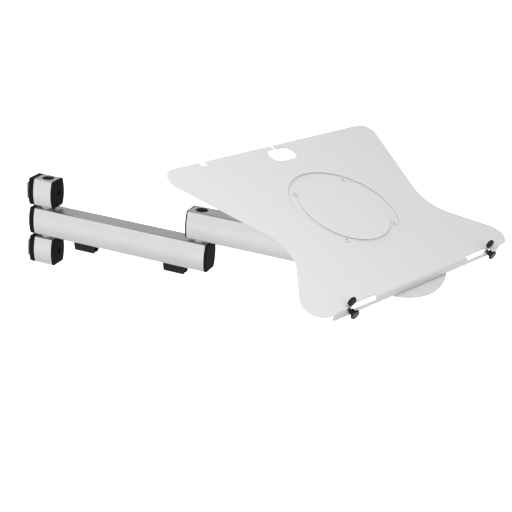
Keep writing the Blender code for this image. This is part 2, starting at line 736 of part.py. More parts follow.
def build_tray(parent):
    top = TRAY_RISE
    front = TRAY_HALF_DEPTH
    tray = add_piece(
        "tray", prism_z(tray_outline(), top - SHEET, top), looks["tray_white"], parent, sharp=30.0
    )
    lip = rounded(
        [
            (-LIP_HALF_LENGTH, top - SHEET / 2, 0.0),
            (-LIP_HALF_LENGTH, top - LIP_HEIGHT, LIP_CORNER),
            (LIP_HALF_LENGTH, top - LIP_HEIGHT, LIP_CORNER),
            (LIP_HALF_LENGTH, top - SHEET / 2, 0.0),
        ],
        4,
    )
    combine(tray, prism_x(lip, front - SHEET, front), "UNION")
    past = 0.07 * LIP_BEND
    bend = [(front - LIP_BEND - past, top + 0.001), (front - LIP_BEND - past, top + past)]
    for step in range(1, 6):
        turn = math.pi / 2 * step / 6
        bend.append(
            (front - LIP_BEND + LIP_BEND * math.sin(turn), top - LIP_BEND + LIP_BEND * math.cos(turn))
        )
    bend += [
        (front + past, top - LIP_BEND - past),
        (front + 0.001, top - LIP_BEND - past),
        (front + 0.001, top + 0.001),
    ]
    bend_half = LIP_HALF_LENGTH + LIP_STEP
    combine(tray, prism_y(bend, -bend_half, bend_half))

    # The ring's sloping sides run on past each face of the sheet.
    spread = RING_SLOPE * (1 + OVERLAP / RING_DEPTH)
    bulge = turned(
        [
            (RING_INNER - spread, top - SHEET + OVERLAP),
            (RING_INNER, top - SHEET - RING_DEPTH),
            (RING_OUTER, top - SHEET - RING_DEPTH),
            (RING_OUTER + spread, top - SHEET + OVERLAP),
        ],
        RING_SIDES, True,
    )
    combine(tray, bulge, "UNION")
    groove = turned(
        [
            (RING_INNER + RING_SLOPE - spread, top + OVERLAP),
            (RING_INNER + RING_SLOPE, top - RING_DEPTH),
            (RING_OUTER - RING_SLOPE, top - RING_DEPTH),
            (RING_OUTER - RING_SLOPE + spread, top + OVERLAP),
        ],
        RING_SIDES, True,
    )
    combine(tray, groove)

    through = (top - SHEET - 0.002, top + 0.002)
    hole_x = -front + CABLE_HOLE_FROM_EDGE
    hole = rounded_box(CABLE_HOLE_WIDTH / 2, CABLE_HOLE_LENGTH / 2, CABLE_HOLE_WIDTH / 2 - 0.0001, 8)
    combine(tray, prism_z([(x + hole_x, y) for x, y in hole], *through))
    slit = box(
        (-front - 0.002, -CABLE_SLIT / 2, through[0]), (hole_x, CABLE_SLIT / 2, through[1])
    )
    combine(tray, slit)
    notch = rounded(
        [
            (-front - 0.002, EDGE_NOTCH_PLACE - EDGE_NOTCH_WIDTH / 2, 0.0),
            (-front + EDGE_NOTCH_DEPTH, EDGE_NOTCH_PLACE - EDGE_NOTCH_WIDTH / 2, 0.0045),
            (-front + EDGE_NOTCH_DEPTH, EDGE_NOTCH_PLACE + EDGE_NOTCH_WIDTH / 2, 0.0045),
            (-front - 0.002, EDGE_NOTCH_PLACE + EDGE_NOTCH_WIDTH / 2, 0.0),
        ]
    )
    combine(tray, prism_z(notch, *through))
    for side in (-1, 1):
        near, far = sorted((side * STOP_SLOT_INNER, side * STOP_SLOT_OUTER))
        slot = box(
            (front - STOP_SLOT_BACK, near, top - LIP_HEIGHT + LIP_STRIP),
            (front + 0.002, far, top + 0.002),
        )
        combine(tray, slot)
    for x, y in screw_places():
        hole = rod(TRAY_SCREW_RADIUS + CLEAR, top - 0.006, top + 0.001, SMALL_SIDES)
        combine(tray, toward(hole, (0, 0, 1), (x, y, 0)))

    head_low = top - RING_DEPTH + CLEAR
    head_high = top
    for count, (x, y) in enumerate(screw_places(), 1):
        shape = turned(
            [
                (TRAY_SCREW_RADIUS, head_low - TRAY_SCREW_LENGTH),
                (TRAY_SCREW_RADIUS, head_low),
                (TRAY_SCREW_HEAD, head_low),
                (TRAY_SCREW_HEAD, head_high - 0.0004),
                (TRAY_SCREW_HEAD - 0.0006, head_high),
            ],
            SMALL_SIDES,
        )
        screw = add_piece(
            f"tray_screw_{count}", shape, looks["tray_white"], parent, (x, y, 0)
        )
        combine(screw, rod(0.00125, head_high - 0.0008, head_high + 0.001, 6))


def build_stop(tag, place, parent):
    """A sliding stop: a stem through the slot, a rubber pad on it and a knob through the lip."""
    axis = axis_empty(
        f"{tag}_stop_axis", parent, (TRAY_HALF_DEPTH, place, TRAY_RISE - KNOB_DROP)
    )
    rear = -SHEET - CLEAR - STEM_THICK
    stem_top = KNOB_DROP + STEM_RISE
    outline = rounded(
        [
            (-STEM_WIDTH / 2, -STEM_DROP, 0.0015),
            (STEM_WIDTH / 2, -STEM_DROP, 0.0015),
            (STEM_WIDTH / 2, stem_top, 0.0025),
            (-STEM_WIDTH / 2, stem_top, 0.0025),
        ],
        4,
    )
    stem = add_piece(
        f"{tag}_stop_stem", prism_x(outline, rear, rear + STEM_THICK), looks["stem_grey"], axis
    )
    boss = rod(SHANK_RADIUS + 0.0020, -OVERLAP, STEM_BOSS, SMALL_SIDES)
    combine(stem, toward(boss, (-1, 0, 0), (rear, 0, 0)), "UNION")
    hole = rod(SHANK_RADIUS + CLEAR, -0.001, STEM_BOSS + STEM_THICK + 0.001, SMALL_SIDES)
    combine(stem, toward(hole, (-1, 0, 0), (rear + STEM_THICK, 0, 0)))

    middle = KNOB_DROP + PAD_LIFT + PAD_HEIGHT / 2
    sections = (
        (-PAD_THICK / 2, 0.86), (-PAD_THICK / 2 + 0.0010, 1.0),
        (PAD_THICK / 2 - 0.0010, 1.0), (PAD_THICK / 2, 0.86),
    )
    centre_x = rear + STEM_THICK / 2
    rings = []
    for along, share in sections:
        rings.append(
            [
                (
                    centre_x + along,
                    share * PAD_WIDTH / 2 * math.cos(math.tau * i / SIDES),
                    middle + share * PAD_HEIGHT / 2 * math.sin(math.tau * i / SIDES),
                )
                for i in range(SIDES)
            ]
        )
    pad = add_piece(f"{tag}_stop_pad", skin(rings), looks["rubber_black"], axis)
    pocket = box(
        (rear - CLEAR, -STEM_WIDTH / 2 - CLEAR, KNOB_DROP),
        (rear + STEM_THICK + CLEAR, STEM_WIDTH / 2 + CLEAR, stem_top + CLEAR),
    )
    combine(pad, pocket)

    neck = CLEAR + KNOB_NECK_LENGTH
    face = neck + KNOB_THICK
    shank = turned(
        [
            (SHANK_RADIUS, rear - STEM_BOSS + CLEAR),
            (SHANK_RADIUS, CLEAR),
            (KNOB_NECK_RADIUS, CLEAR),
            (KNOB_NECK_RADIUS, neck + OVERLAP),
        ],
        SMALL_SIDES,
    )
    knob = add_piece(f"{tag}_thumb_knob", toward(shank, (1, 0, 0)), looks["knob_black"], axis)
    profile = (
        (neck, 0.92), (neck + 0.0006, 1.0), (face - 0.0010, 1.0),
        (face - 0.0003, 0.95), (face, 0.86),
    )
    rings = []
    count = KNOB_FLUTES * 4
    for along, share in profile:
        points = []
        for i in range(count):
            turn = math.tau * i / count
            flute = KNOB_FLUTE_DEPTH * (0.5 - 0.5 * math.cos(KNOB_FLUTES * turn))
            radius = share * (KNOB_RADIUS - flute)
            points.append((along, radius * math.cos(turn), radius * math.sin(turn)))
        rings.append(points)
    combine(knob, skin(rings), "UNION")


def build_platform(parent):
    """The round platform, the bar that carries it and the post that it swings on."""
    post_x, post_y = PLATFORM_PIVOT
    post_place = axis_empty("platform_axis", parent, (post_x, post_y, TRAY_RISE))
    bright = looks["bright_steel"]
    platform_low = -PLATFORM_DROP - PLATFORM_THICK
    bar_high = platform_low - CLEAR
    bar_low = bar_high - BAR_THICK
    nut_high = bar_low - CLEAR
    pin_low = nut_high - 0.0046
    flange_high = -SHEET - CLEAR
    post = turned(
        [
            (POST_PIN_RADIUS, pin_low),
            (POST_PIN_RADIUS, bar_high + CLEAR),
            (POST_RADIUS, bar_high + CLEAR),
            (POST_RADIUS, flange_high - 0.0015),
            (POST_FLANGE, flange_high - 0.0015),
            (POST_FLANGE, flange_high),
        ],
        SIDES,
    )
    add_piece("platform_post", post, bright, post_place)
    nut = add_piece("platform_nut", rod(0.0075, nut_high - 0.0040, nut_high, 6), bright, post_place)
    combine(nut, rod(POST_PIN_RADIUS + CLEAR, nut_high - 0.005, nut_high + 0.001, SIDES))

    middle = Vector((PLATFORM_FORWARD - post_x, -post_y))
    reach = middle.length
    heading = math.atan2(middle.y, middle.x)
    half = BAR_WIDTH / 2
    end = reach + BAR_OVERRUN
    outline = []
    for centre, first in ((0.0, math.pi / 2), (end - half, -math.pi / 2)):
        for step in range(13):
            turn = first + math.pi * step / 12
            outline.append((centre + half * math.cos(turn), half * math.sin(turn)))
    bar_mesh = prism_z(outline, bar_low, bar_high)
    bar_mesh.transform(Matrix.Rotation(heading, 4, "Z"))
    bar = add_piece("swing_bar", bar_mesh, looks["head_grey"], post_place)
    combine(bar, rod(POST_PIN_RADIUS + CLEAR, bar_low - 0.001, bar_high + 0.001, SIDES))

    disc_mesh = rod(PLATFORM_RADIUS, platform_low, -PLATFORM_DROP, PLATFORM_SIDES)
    disc_mesh.transform(Matrix.Translation((middle.x, middle.y, 0)))
    disc = add_piece("mouse_platform", disc_mesh, looks["tray_white"], post_place)
    # The knuckle leaves the platform's edge along an arc round the post.
    neck = Vector((-post_x, -post_y))
    far = neck.length
    sweep = 2 * math.asin((PLATFORM_RADIUS + NECK_ROOM) / (2 * far))
    start = math.atan2(neck.y, neck.x)
    channel = []
    for step in range(9):
        turn = start - sweep * step / 8
        channel.append(((far + NECK_ROOM) * math.cos(turn), (far + NECK_ROOM) * math.sin(turn)))
    for step in range(9):
        turn = start - sweep * (8 - step) / 8
        channel.append(((far - NECK_ROOM) * math.cos(turn), (far - NECK_ROOM) * math.sin(turn)))
    for step in range(1, 8):
        turn = start + math.pi - math.pi * step / 8
        channel.append(
            (neck.x + NECK_ROOM * math.cos(turn), neck.y + NECK_ROOM * math.sin(turn))
        )
    combine(disc, prism_z(channel, platform_low - 0.001, -PLATFORM_DROP + 0.001))
    for count, offset in ((1, -RIVET_PITCH / 2), (2, RIVET_PITCH / 2)):
        along = reach - BAR_WIDTH / 2 + offset
        x = along * math.cos(heading)
        y = along * math.sin(heading)
        sink = -PLATFORM_DROP - RIVET_HEAD_THICK - CLEAR
        shape = turned(
            [
                (RIVET_HEAD_RADIUS, bar_low - CLEAR - 0.0012),
                (RIVET_HEAD_RADIUS, bar_low - CLEAR),
                (RIVET_RADIUS, bar_low - CLEAR),
                (RIVET_RADIUS, sink + CLEAR),
                (RIVET_HEAD_RADIUS, sink + CLEAR),
                (RIVET_HEAD_RADIUS, -PLATFORM_DROP),
            ],
            SMALL_SIDES,
        )
        add_piece(f"platform_rivet_{count}", shape, bright, post_place, (x, y, 0))
        hole = rod(RIVET_RADIUS + CLEAR, bar_low - 0.001, -PLATFORM_DROP + 0.001, SMALL_SIDES)
        for piece in (bar, disc):
            combine(piece, toward(hole.copy(), (0, 0, 1), (x, y, 0)))
        hole.free()
        seat = rod(RIVET_HEAD_RADIUS + CLEAR, sink, -PLATFORM_DROP + 0.001, SMALL_SIDES)
        combine(disc, toward(seat, (0, 0, 1), (x, y, 0)))


clear_scene()
looks = {
    "arm_silver": look("arm_silver", (0.78, 0.79, 0.80), 0.55, 0.42),
    "cap_black": look("cap_black", (0.022, 0.022, 0.023), 0.0, 0.45),
    "clip_black": look("clip_black", (0.032, 0.032, 0.034), 0.0, 0.55),
    "bright_steel": look("bright_steel", (0.62, 0.63, 0.64), 1.0, 0.30),
    "screw_steel": look("screw_steel", (0.10, 0.10, 0.11), 0.9, 0.40),
    "bush_white": look("bush_white", (0.80, 0.80, 0.78), 0.0, 0.50),
    "head_grey": look("head_grey", (0.58, 0.59, 0.60), 0.3, 0.45),
    "tray_white": look("tray_white", (0.80, 0.80, 0.81), 0.10, 0.45),
    "stem_grey": look("stem_grey", (0.55, 0.56, 0.57), 0.4, 0.40),
    "rubber_black": look("rubber_black", (0.015, 0.015, 0.016), 0.0, 0.80),
    "knob_black": look("knob_black", (0.020, 0.020, 0.021), 0.0, 0.42),
}

build_block("lower", 0.0, -1)
build_block("upper", 2 * STACK_PITCH, 1)
build_shoulder()
shoulder_axis = axis_empty("shoulder_axis", None, (SHOULDER_X, 0, STACK_PITCH))
build_lower_arm(shoulder_axis)
elbow_axis = axis_empty("elbow_axis", shoulder_axis, (LOWER_ARM_PITCH, 0, STACK_PITCH))
build_upper_arm(elbow_axis)
head_axis = axis_empty("head_axis", elbow_axis, (UPPER_ARM_PITCH, 0, HALF), (0, 0, HEAD_PAN))
build_head(head_axis)
tilt_axis = axis_empty(
    "tilt_axis", head_axis, (-TILT_SETBACK, 0, TILT_HEIGHT), (0, TRAY_TILT, 0)
)
build_bracket(tilt_axis)
build_tray(tilt_axis)
build_stop("left", LEFT_STOP_INSET - STOP_SLOT_OUTER, tilt_axis)
build_stop("right", STOP_SLOT_OUTER - RIGHT_STOP_INSET, tilt_axis)
build_platform(tilt_axis)
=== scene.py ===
import json
from math import asin, atan2, cos, pi, radians, sin, sqrt, tan, tau

import bmesh
import bpy
from mathutils import Matrix, Vector


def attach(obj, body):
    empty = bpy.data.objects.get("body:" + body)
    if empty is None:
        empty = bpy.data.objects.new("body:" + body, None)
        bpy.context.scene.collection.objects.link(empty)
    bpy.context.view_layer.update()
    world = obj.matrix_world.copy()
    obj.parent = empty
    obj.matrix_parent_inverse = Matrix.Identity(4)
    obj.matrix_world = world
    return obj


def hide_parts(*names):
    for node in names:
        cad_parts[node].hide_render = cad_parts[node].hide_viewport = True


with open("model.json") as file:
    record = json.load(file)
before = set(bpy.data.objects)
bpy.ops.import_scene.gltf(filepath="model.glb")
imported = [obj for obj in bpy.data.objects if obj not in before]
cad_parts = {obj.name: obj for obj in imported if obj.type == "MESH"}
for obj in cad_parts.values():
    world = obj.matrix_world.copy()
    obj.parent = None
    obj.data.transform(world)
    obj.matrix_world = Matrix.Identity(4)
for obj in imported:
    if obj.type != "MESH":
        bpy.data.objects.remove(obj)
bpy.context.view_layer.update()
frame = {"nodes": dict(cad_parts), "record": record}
home = bpy.context.scene.collection

# Where the pivots stand at rest, in metres and degrees, and the gap that seated pieces keep
layout = {
    "shoulderX": 0.0290,
    "stackPitch": 0.0458,
    "lowerPivots": 0.2500,
    "upperPivots": 0.2053,
    "headTurn": -22.53,
    "trayTilt": 19.64,
    "tiltRise": 0.02185,
    "tiltSetback": 0.00807,
    "trayRise": 0.0240,
    "bore": 0.0063,
    "wideBore": 0.0088,
    "gap": 0.0003,
}
gap = layout["gap"]
over = 0.001  # how far a cutting tool passes a face

# The bowed section of the arms and blocks
barrel = {
    "height": 0.0421,
    "width": 0.0350,
    "topWidth": 0.0272,
    "wall": 0.0030,
    "topRadius": 0.0016,
    "bottomRadius": 0.0040,
    "cornerSteps": 5,
    "sideSteps": 16,
    "endBreak": 0.0006,
}
half = barrel["height"] / 2
wallCut = barrel["wall"] + over


# Makes an object for a modifier to work on
def looseObject(name, shape):
    mesh = bpy.data.meshes.new(name)
    shape.to_mesh(mesh)
    shape.free()
    loose = bpy.data.objects.new(name, mesh)
    home.objects.link(loose)
    return loose


# Takes the evaluated mesh of a loose object and clears the object away
def baked(host, helpers=()):
    bpy.context.view_layer.update()
    graph = bpy.context.evaluated_depsgraph_get()
    mesh = bpy.data.meshes.new_from_object(host.evaluated_get(graph))
    for loose in (host, *helpers):
        data = loose.data
        bpy.data.objects.remove(loose)
        bpy.data.meshes.remove(data)
    return mesh


def shapeOf(mesh):
    shape = bmesh.new()
    shape.from_mesh(mesh)
    bpy.data.meshes.remove(mesh)
    bmesh.ops.remove_doubles(shape, verts=shape.verts, dist=0.000002)
    return shape


# Cuts tools from a shape, or joins them on
def carved(shape, *steps):
    host = looseObject("carving", shape)
    helpers = []
    for operation, tool in steps:
        helper = looseObject("tool", tool)
        modifier = host.modifiers.new(operation, "BOOLEAN")
        modifier.operation = {"cut": "DIFFERENCE", "add": "UNION", "keep": "INTERSECT"}[operation]
        modifier.object = helper
        modifier.solver = "EXACT"
        helpers.append(helper)
    return shapeOf(baked(host, helpers))


# Runs a Geometry Nodes tree on a shape, with its inputs set by identifier
def grown(tree, shape, finish, **values):
    values["finish"] = finishes[finish]
    host = looseObject("growing", shape)
    modifier = host.modifiers.new("tree", "NODES")
    modifier.node_group = tree
    for item in tree.interface.items_tree:
        if item.in_out == "INPUT" and item.name in values:
            modifier[item.identifier] = values[item.name]
    return shapeOf(baked(host))


# Rounds the sharp edges, settles the shading and hands the piece to its body.
# A piece stands for the node of its own name, unless other nodes are given.
def settle(name, shape, place, finish, body, edge=0.0003, nodes=None):
    shape.transform(place)
    bmesh.ops.dissolve_degenerate(shape, edges=shape.edges, dist=0.000002)
    bmesh.ops.recalc_face_normals(shape, faces=shape.faces)
    if edge:
        corners = [
            side for side in shape.edges
            if side.is_manifold and side.calc_face_angle() > radians(32)
        ]
        bmesh.ops.bevel(
            shape, geom=corners, offset=edge, segments=2, profile=0.5,
            affect="EDGES", clamp_overlap=True,
        )
        bmesh.ops.remove_doubles(shape, verts=shape.verts, dist=0.000002)
    rough = looseObject(name + "Rough", shape)
    rough.data.shade_smooth()
    rough.data.set_sharp_from_angle(angle=radians(42))
    rough.modifiers.new("weighted", "WEIGHTED_NORMAL").keep_sharp = True
    mesh = baked(rough)
    mesh.name = name
    mesh.materials.clear()
    mesh.materials.append(finishes[finish])
    piece = bpy.data.objects.new(name, mesh)
    home.objects.link(piece)
    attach(piece, body)
    if nodes is None:
        nodes = ["".join("_" + sign.lower() if sign.isupper() else sign for sign in name)]
    if nodes:
        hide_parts(*nodes)


# Skins rings of equal point counts; an open run gets end faces, a closed one joins up
def skin(rings, closed=False):
    shape = bmesh.new()
    rows = [[shape.verts.new(point) for point in ring] for ring in rings]
    pairs = zip(rows, rows[1:] + rows[:1]) if closed else zip(rows, rows[1:])
    for row, following in pairs:
        for i in range(len(row)):
            j = (i + 1) % len(row)
            shape.faces.new((row[i], row[j], following[j], following[i]))
    if not closed:
        shape.faces.new(list(reversed(rows[0])))
        shape.faces.new(rows[-1])
    bmesh.ops.recalc_face_normals(shape, faces=shape.faces)
    return shape


# Draws a flat outline along an axis, whose coordinate its points leave out
def prism(axis, outline, low, high):
    spot = "XYZ".index(axis)
    return skin([
        [(*point[:spot], level, *point[spot:]) for point in outline] for level in (low, high)
    ])


def box(low, high):
    outline = [(low[0], low[1]), (high[0], low[1]), (high[0], high[1]), (low[0], high[1])]
    return prism("Z", outline, low[2], high[2])


def polar(radius, turn, x=0.0, y=0.0):
    return x + radius * cos(turn), y + radius * sin(turn)


def arc(radius, start, end, steps, x=0.0, y=0.0):
    turns = (start + (end - start) * step / steps for step in range(steps + 1))
    return [polar(radius, turn, x, y) for turn in turns]


# Turns (radius, height) points round Z
def turned(profile, sides=72, closed=False):
    turns = [tau * (i + 0.5) / sides for i in range(sides)]
    rings = [[(*polar(radius, turn), height) for turn in turns] for radius, height in profile]
    return skin(rings, closed)


def rod(radius, low, high, sides=72):
    return turned([(radius, low), (radius, high)], sides)


def washer(inner, outer, low, high, sides=72):
    return turned([(inner, low), (outer, low), (outer, high), (inner, high)], sides, True)


def moved(*offset):
    return Matrix.Translation(offset)


# Points a shape made round Z along another axis and moves it
def aimed(shape, axis, at=(0.0, 0.0, 0.0)):
    turn = Vector((0, 0, 1)).rotation_difference(Vector(axis)).to_matrix().to_4x4()
    shape.transform(moved(*at) @ turn)
    return shape


def column(x, y, low, high, radius, sides=64):
    return aimed(rod(radius, low, high, sides), (0, 0, 1), (x, y, 0))


# Adds thread turns to a profile, up to a limit
def threaded(profile, pitch, depth, limit):
    radius, low = profile[-1]
    while low + pitch < limit:
        profile += [(radius - depth, low + pitch / 2), (radius, low + pitch)]
        low = profile[-1][1]
    return profile


# Rounds each (x, y, radius) corner of a closed outline
def rounded(corners, steps=10):
    outline = []
    for i, (x, y, radius) in enumerate(corners):
        if radius <= 0.0:
            outline.append((x, y))
            continue
        here = Vector((x, y))
        before, after = (
            (Vector(corners[j % len(corners)][:2]) - here).normalized() for j in (i - 1, i + 1)
        )
        halfAngle = before.angle(after) / 2
        middle = here + (before + after).normalized() * radius / sin(halfAngle)
        reach = radius / tan(halfAngle)
        start = here + before * reach - middle
        swing = start.angle_signed(here + after * reach - middle)
        for step in range(steps + 1):
            arm = start.copy()
            arm.rotate(Matrix.Rotation(-swing * step / steps, 2))
            outline.append(tuple(middle + arm))
    return outline


def roundedBox(halfX, halfY, radius, steps=8):
    return rounded(
        [(-halfX, -halfY, radius), (halfX, -halfY, radius),
         (halfX, halfY, radius), (-halfX, halfY, radius)],
        steps,
    )


# The barrel section in (y, z): flat top and bottom, bowed sides, rounded corners
def barrelSection(inset=0.0):
    halfHeight = half - inset
    bow = (barrel["width"] - barrel["topWidth"]) / 2
    sideRadius = (halfHeight**2 + bow**2) / (2 * bow)
    sideMiddle = barrel["width"] / 2 - inset - sideRadius
    corners = []
    for radius in (barrel["bottomRadius"], barrel["topRadius"]):
        fillet = max(radius - inset, 0.0004)
        rise = halfHeight - fillet
        across = sideMiddle + sqrt((sideRadius - fillet) ** 2 - rise**2)
        corners.append((fillet, rise, across, atan2(rise, across - sideMiddle)))
    (lowFillet, lowRise, lowAcross, lowTurn), (fillet, rise, across, highTurn) = corners
    count = barrel["cornerSteps"]
    right = arc(lowFillet, -pi / 2, -lowTurn, count, lowAcross, -lowRise)
    right += arc(sideRadius, -lowTurn, highTurn, barrel["sideSteps"], sideMiddle)[1:-1]
    right += arc(fillet, highTurn, pi / 2, count, across, rise)
    return right + [(-y, z) for y, z in reversed(right)]


shoulderX, pitch = layout["shoulderX"], layout["stackPitch"]
elbowX = shoulderX + layout["lowerPivots"]
lowerPlace = moved(shoulderX, 0, pitch)
upperPlace = moved(elbowX, 0, 2 * pitch)
headColumn = moved(elbowX + layout["upperPivots"], 0, 2 * pitch + half)
headPlace = headColumn @ Matrix.Rotation(radians(layout["headTurn"]), 4, "Z")
axlePlace = headPlace @ moved(-layout["tiltSetback"], 0, layout["tiltRise"])
trayPlace = axlePlace @ Matrix.Rotation(radians(layout["trayTilt"]), 4, "Y")
trayRise = layout["trayRise"]


# Sets inputs, each to a value, a socket, or a node for its first output
def feed(tree, node, inputs):
    for key, value in inputs.items():
        if isinstance(value, bpy.types.Node):
            value = value.outputs[0]
        if isinstance(value, bpy.types.NodeSocket):
            tree.links.new(value, node.inputs[key])
        else:
            node.inputs[key].default_value = value


def addNode(tree, kind, inputs=None, **settings):
    node = tree.nodes.new(kind)
    for key, value in settings.items():
        setattr(node, key, value)
    feed(tree, node, inputs or {})
    return node


def maths(tree, operation, *inputs):
    return addNode(tree, "ShaderNodeMath", dict(enumerate(inputs)), operation=operation)


def texturePlace(tree, stretch=(1.0, 1.0, 1.0)):
    place = addNode(tree, "ShaderNodeTexCoord").outputs["Object"]
    return addNode(tree, "ShaderNodeMapping", {"Vector": place, "Scale": stretch})


def noise(tree, vector, scale, detail=4.0, roughness=0.55):
    return addNode(tree, "ShaderNodeTexNoise", {
        "Vector": vector, "Scale": scale, "Detail": detail, "Roughness": roughness,
    })


def ranged(tree, value, fromLow, fromHigh, low, high):
    return addNode(tree, "ShaderNodeMapRange", {
        "Value": value, "From Min": fromLow, "From Max": fromHigh, "To Min": low, "To Max": high,
    })


# The Mix node's first sockets are for numbers and its seventh and eighth for colours
def mixed(tree, fac, first, second):
    return addNode(tree, "ShaderNodeMix", {0: fac, 2: first, 3: second}, data_type="FLOAT")


def toned(tree, fac, colour, *shades):
    dark, light = ((*(channel * share for channel in colour), 1.0) for share in shades)
    inputs = {0: fac, 6: dark, 7: light}
    return addNode(tree, "ShaderNodeMix", inputs, data_type="RGBA").outputs[2]


def bumped(tree, height, strength, distance, under=None):
    inputs = {"Height": height, "Strength": strength, "Distance": distance}
    if under:
        inputs["Normal"] = under
    return addNode(tree, "ShaderNodeBump", inputs)


def newFinish(name):
    material = bpy.data.materials.new(name)
    material.use_nodes = True
    return material, material.node_tree


def wired(material, metallic, specular, colour, roughness, normal):
    tree = material.node_tree
    feed(tree, tree.nodes["Principled BSDF"], {
        "Metallic": metallic, "Specular IOR Level": specular,
        "Base Color": colour, "Roughness": roughness, "Normal": normal,
    })
    return material


# Satin anodised extrusion: hairline streaks along its length, over faint cloudiness
def anodised(name, colour, roughness, metallic):
    material, tree = newFinish(name)
    streaks = noise(tree, texturePlace(tree, (5.0, 1500.0, 1500.0)), 1.0, 5.0, 0.65)
    clouds = noise(tree, texturePlace(tree), 22.0, 3.0)
    tint = ranged(tree, clouds, 0.35, 0.65, 0.0, 1.0)
    colourOut = toned(tree, tint, colour, 0.985, 1.015)
    roughOut = ranged(tree, streaks, 0.3, 0.7, roughness - 0.05, roughness + 0.06)
    lines = bumped(tree, streaks, 0.10, 0.00003)
    return wired(material, metallic, 0.5, colourOut, roughOut, lines)


# Powder coat: orange peel, a finer grit in it and slow patches in its sheen
def powderCoat(name, colour, roughness, metallic, specular=0.5):
    material, tree = newFinish(name)
    plain = texturePlace(tree)
    peel = noise(tree, plain, 620.0, 2.0, 0.45)
    grit = noise(tree, plain, 2600.0, 2.0, 0.6)
    speck = ranged(tree, grit, 0.30, 0.70, 0.0, 1.0)
    colourOut = toned(tree, speck, colour, 0.985, 1.012)
    patches = noise(tree, plain, 9.0, 3.0)
    roughOut = ranged(tree, patches, 0.3, 0.7, roughness - 0.03, roughness + 0.05)
    skinOut = bumped(tree, peel, 0.10, 0.00012, bumped(tree, grit, 0.06, 0.00004))
    return wired(material, metallic, specular, colourOut, roughOut, skinOut)


# Moulded plastic: spark-eroded grain, and a slightly polished patchiness
def moulded(name, colour, roughness, grain, depth, specular=0.5):
    material, tree = newFinish(name)
    plain = texturePlace(tree)
    cells = addNode(tree, "ShaderNodeTexVoronoi", {"Vector": plain, "Scale": grain},
                    feature="SMOOTH_F1")
    colourOut = toned(tree, cells, colour, 0.88, 1.14)
    patches = noise(tree, plain, 60.0, 4.0)
    roughOut = ranged(tree, patches, 0.3, 0.7, roughness - 0.06, roughness + 0.07)
    grainOut = bumped(tree, cells, depth, 0.00012)
    return wired(material, 0.0, specular, colourOut, roughOut, grainOut)


# Plated or blackened steel: fine crystal mottling and turned lines
def plated(name, colour, roughness):
    material, tree = newFinish(name)
    mottle = noise(tree, texturePlace(tree), 380.0, 5.0, 0.6)
    colourOut = toned(tree, mottle, colour, 0.90, 1.10)
    roughOut = ranged(tree, mottle, 0.3, 0.7, roughness - 0.06, roughness + 0.08)
    smears = noise(tree, texturePlace(tree, (300.0, 300.0, 2600.0)), 1.0, 3.0)
    lines = bumped(tree, smears, 0.08, 0.00005)
    return wired(material, 1.0, 0.5, colourOut, roughOut, lines)


finishes = {
    "arm_silver": anodised("satinAluminium", (0.465, 0.47, 0.475), 0.34, 0.94),
    "cap_black": moulded("capMoulding", (0.017, 0.017, 0.018), 0.58, 1500.0, 0.10, 0.01),
    "clip_black": moulded("clipMoulding", (0.026, 0.026, 0.027), 0.55, 1500.0, 0.12, 0.05),
    "bright_steel": plated("brightSteel", (0.26, 0.265, 0.27), 0.30),
    "screw_steel": plated("blackSteel", (0.10, 0.10, 0.11), 0.38),
    "bush_white": moulded("bushPlastic", (0.80, 0.80, 0.78), 0.48, 900.0, 0.05),
    "head_grey": powderCoat("greyPowderCoat", (0.58, 0.59, 0.60), 0.42, 0.20),
    "tray_white": powderCoat("paleSilverPowderCoat", (0.775, 0.775, 0.78), 0.44, 0.0, 0.22),
    "stem_grey": powderCoat("stemPowderCoat", (0.55, 0.56, 0.57), 0.40, 0.30),
    "rubber_black": moulded("mattRubber", (0.020, 0.020, 0.021), 0.70, 2400.0, 0.25, 0.15),
    "knob_black": moulded("knobMoulding", (0.009, 0.009, 0.010), 0.36, 1900.0, 0.08, 0.20),
}
for row in frame["record"]["subparts"]:
    node = frame["nodes"][row["node"]]
    for slot in node.material_slots:
        slot.material = finishes[row["material_slot"]]
print("finishes made:", len(finishes))


# Starts a Geometry Nodes tree with named inputs
def newTree(name, *inputs):
    tree = bpy.data.node_groups.new(name, "GeometryNodeTree")
    for label, kind in (("Geometry", "Geometry"), *inputs, ("finish", "Material")):
        tree.interface.new_socket(label, in_out="INPUT", socket_type="NodeSocket" + kind)
    tree.interface.new_socket("Geometry", in_out="OUTPUT", socket_type="NodeSocketGeometry")
    return tree, addNode(tree, "NodeGroupInput").outputs


# Every tree ends in Realize Instances and Set Material
def endTree(tree, start, geometry):
    real = addNode(tree, "GeometryNodeRealizeInstances", {"Geometry": geometry})
    coat = {"Geometry": real, "Material": start["finish"]}
    paint = addNode(tree, "GeometryNodeSetMaterial", coat)
    addNode(tree, "NodeGroupOutput", {"Geometry": paint})
    return tree


# Draws a flat ring section out along X into a hollow length with both end faces
def extrusionTree():
    tree, start = newTree("hollowExtrusion", ("length", "Float"))
    along = addNode(tree, "ShaderNodeCombineXYZ", {"X": start["length"]})
    draw = addNode(tree, "GeometryNodeExtrudeMesh", {
        "Mesh": start["Geometry"], "Offset": along, "Individual": False,
    }, mode="FACES")
    turnOver = addNode(tree, "GeometryNodeFlipFaces", {"Mesh": start["Geometry"]})
    join = addNode(tree, "GeometryNodeJoinGeometry", {"Geometry": turnOver})
    feed(tree, join, {"Geometry": draw})
    weld = {"Geometry": join, "Distance": 0.000005}
    return endTree(tree, start, addNode(tree, "GeometryNodeMergeByDistance", weld))


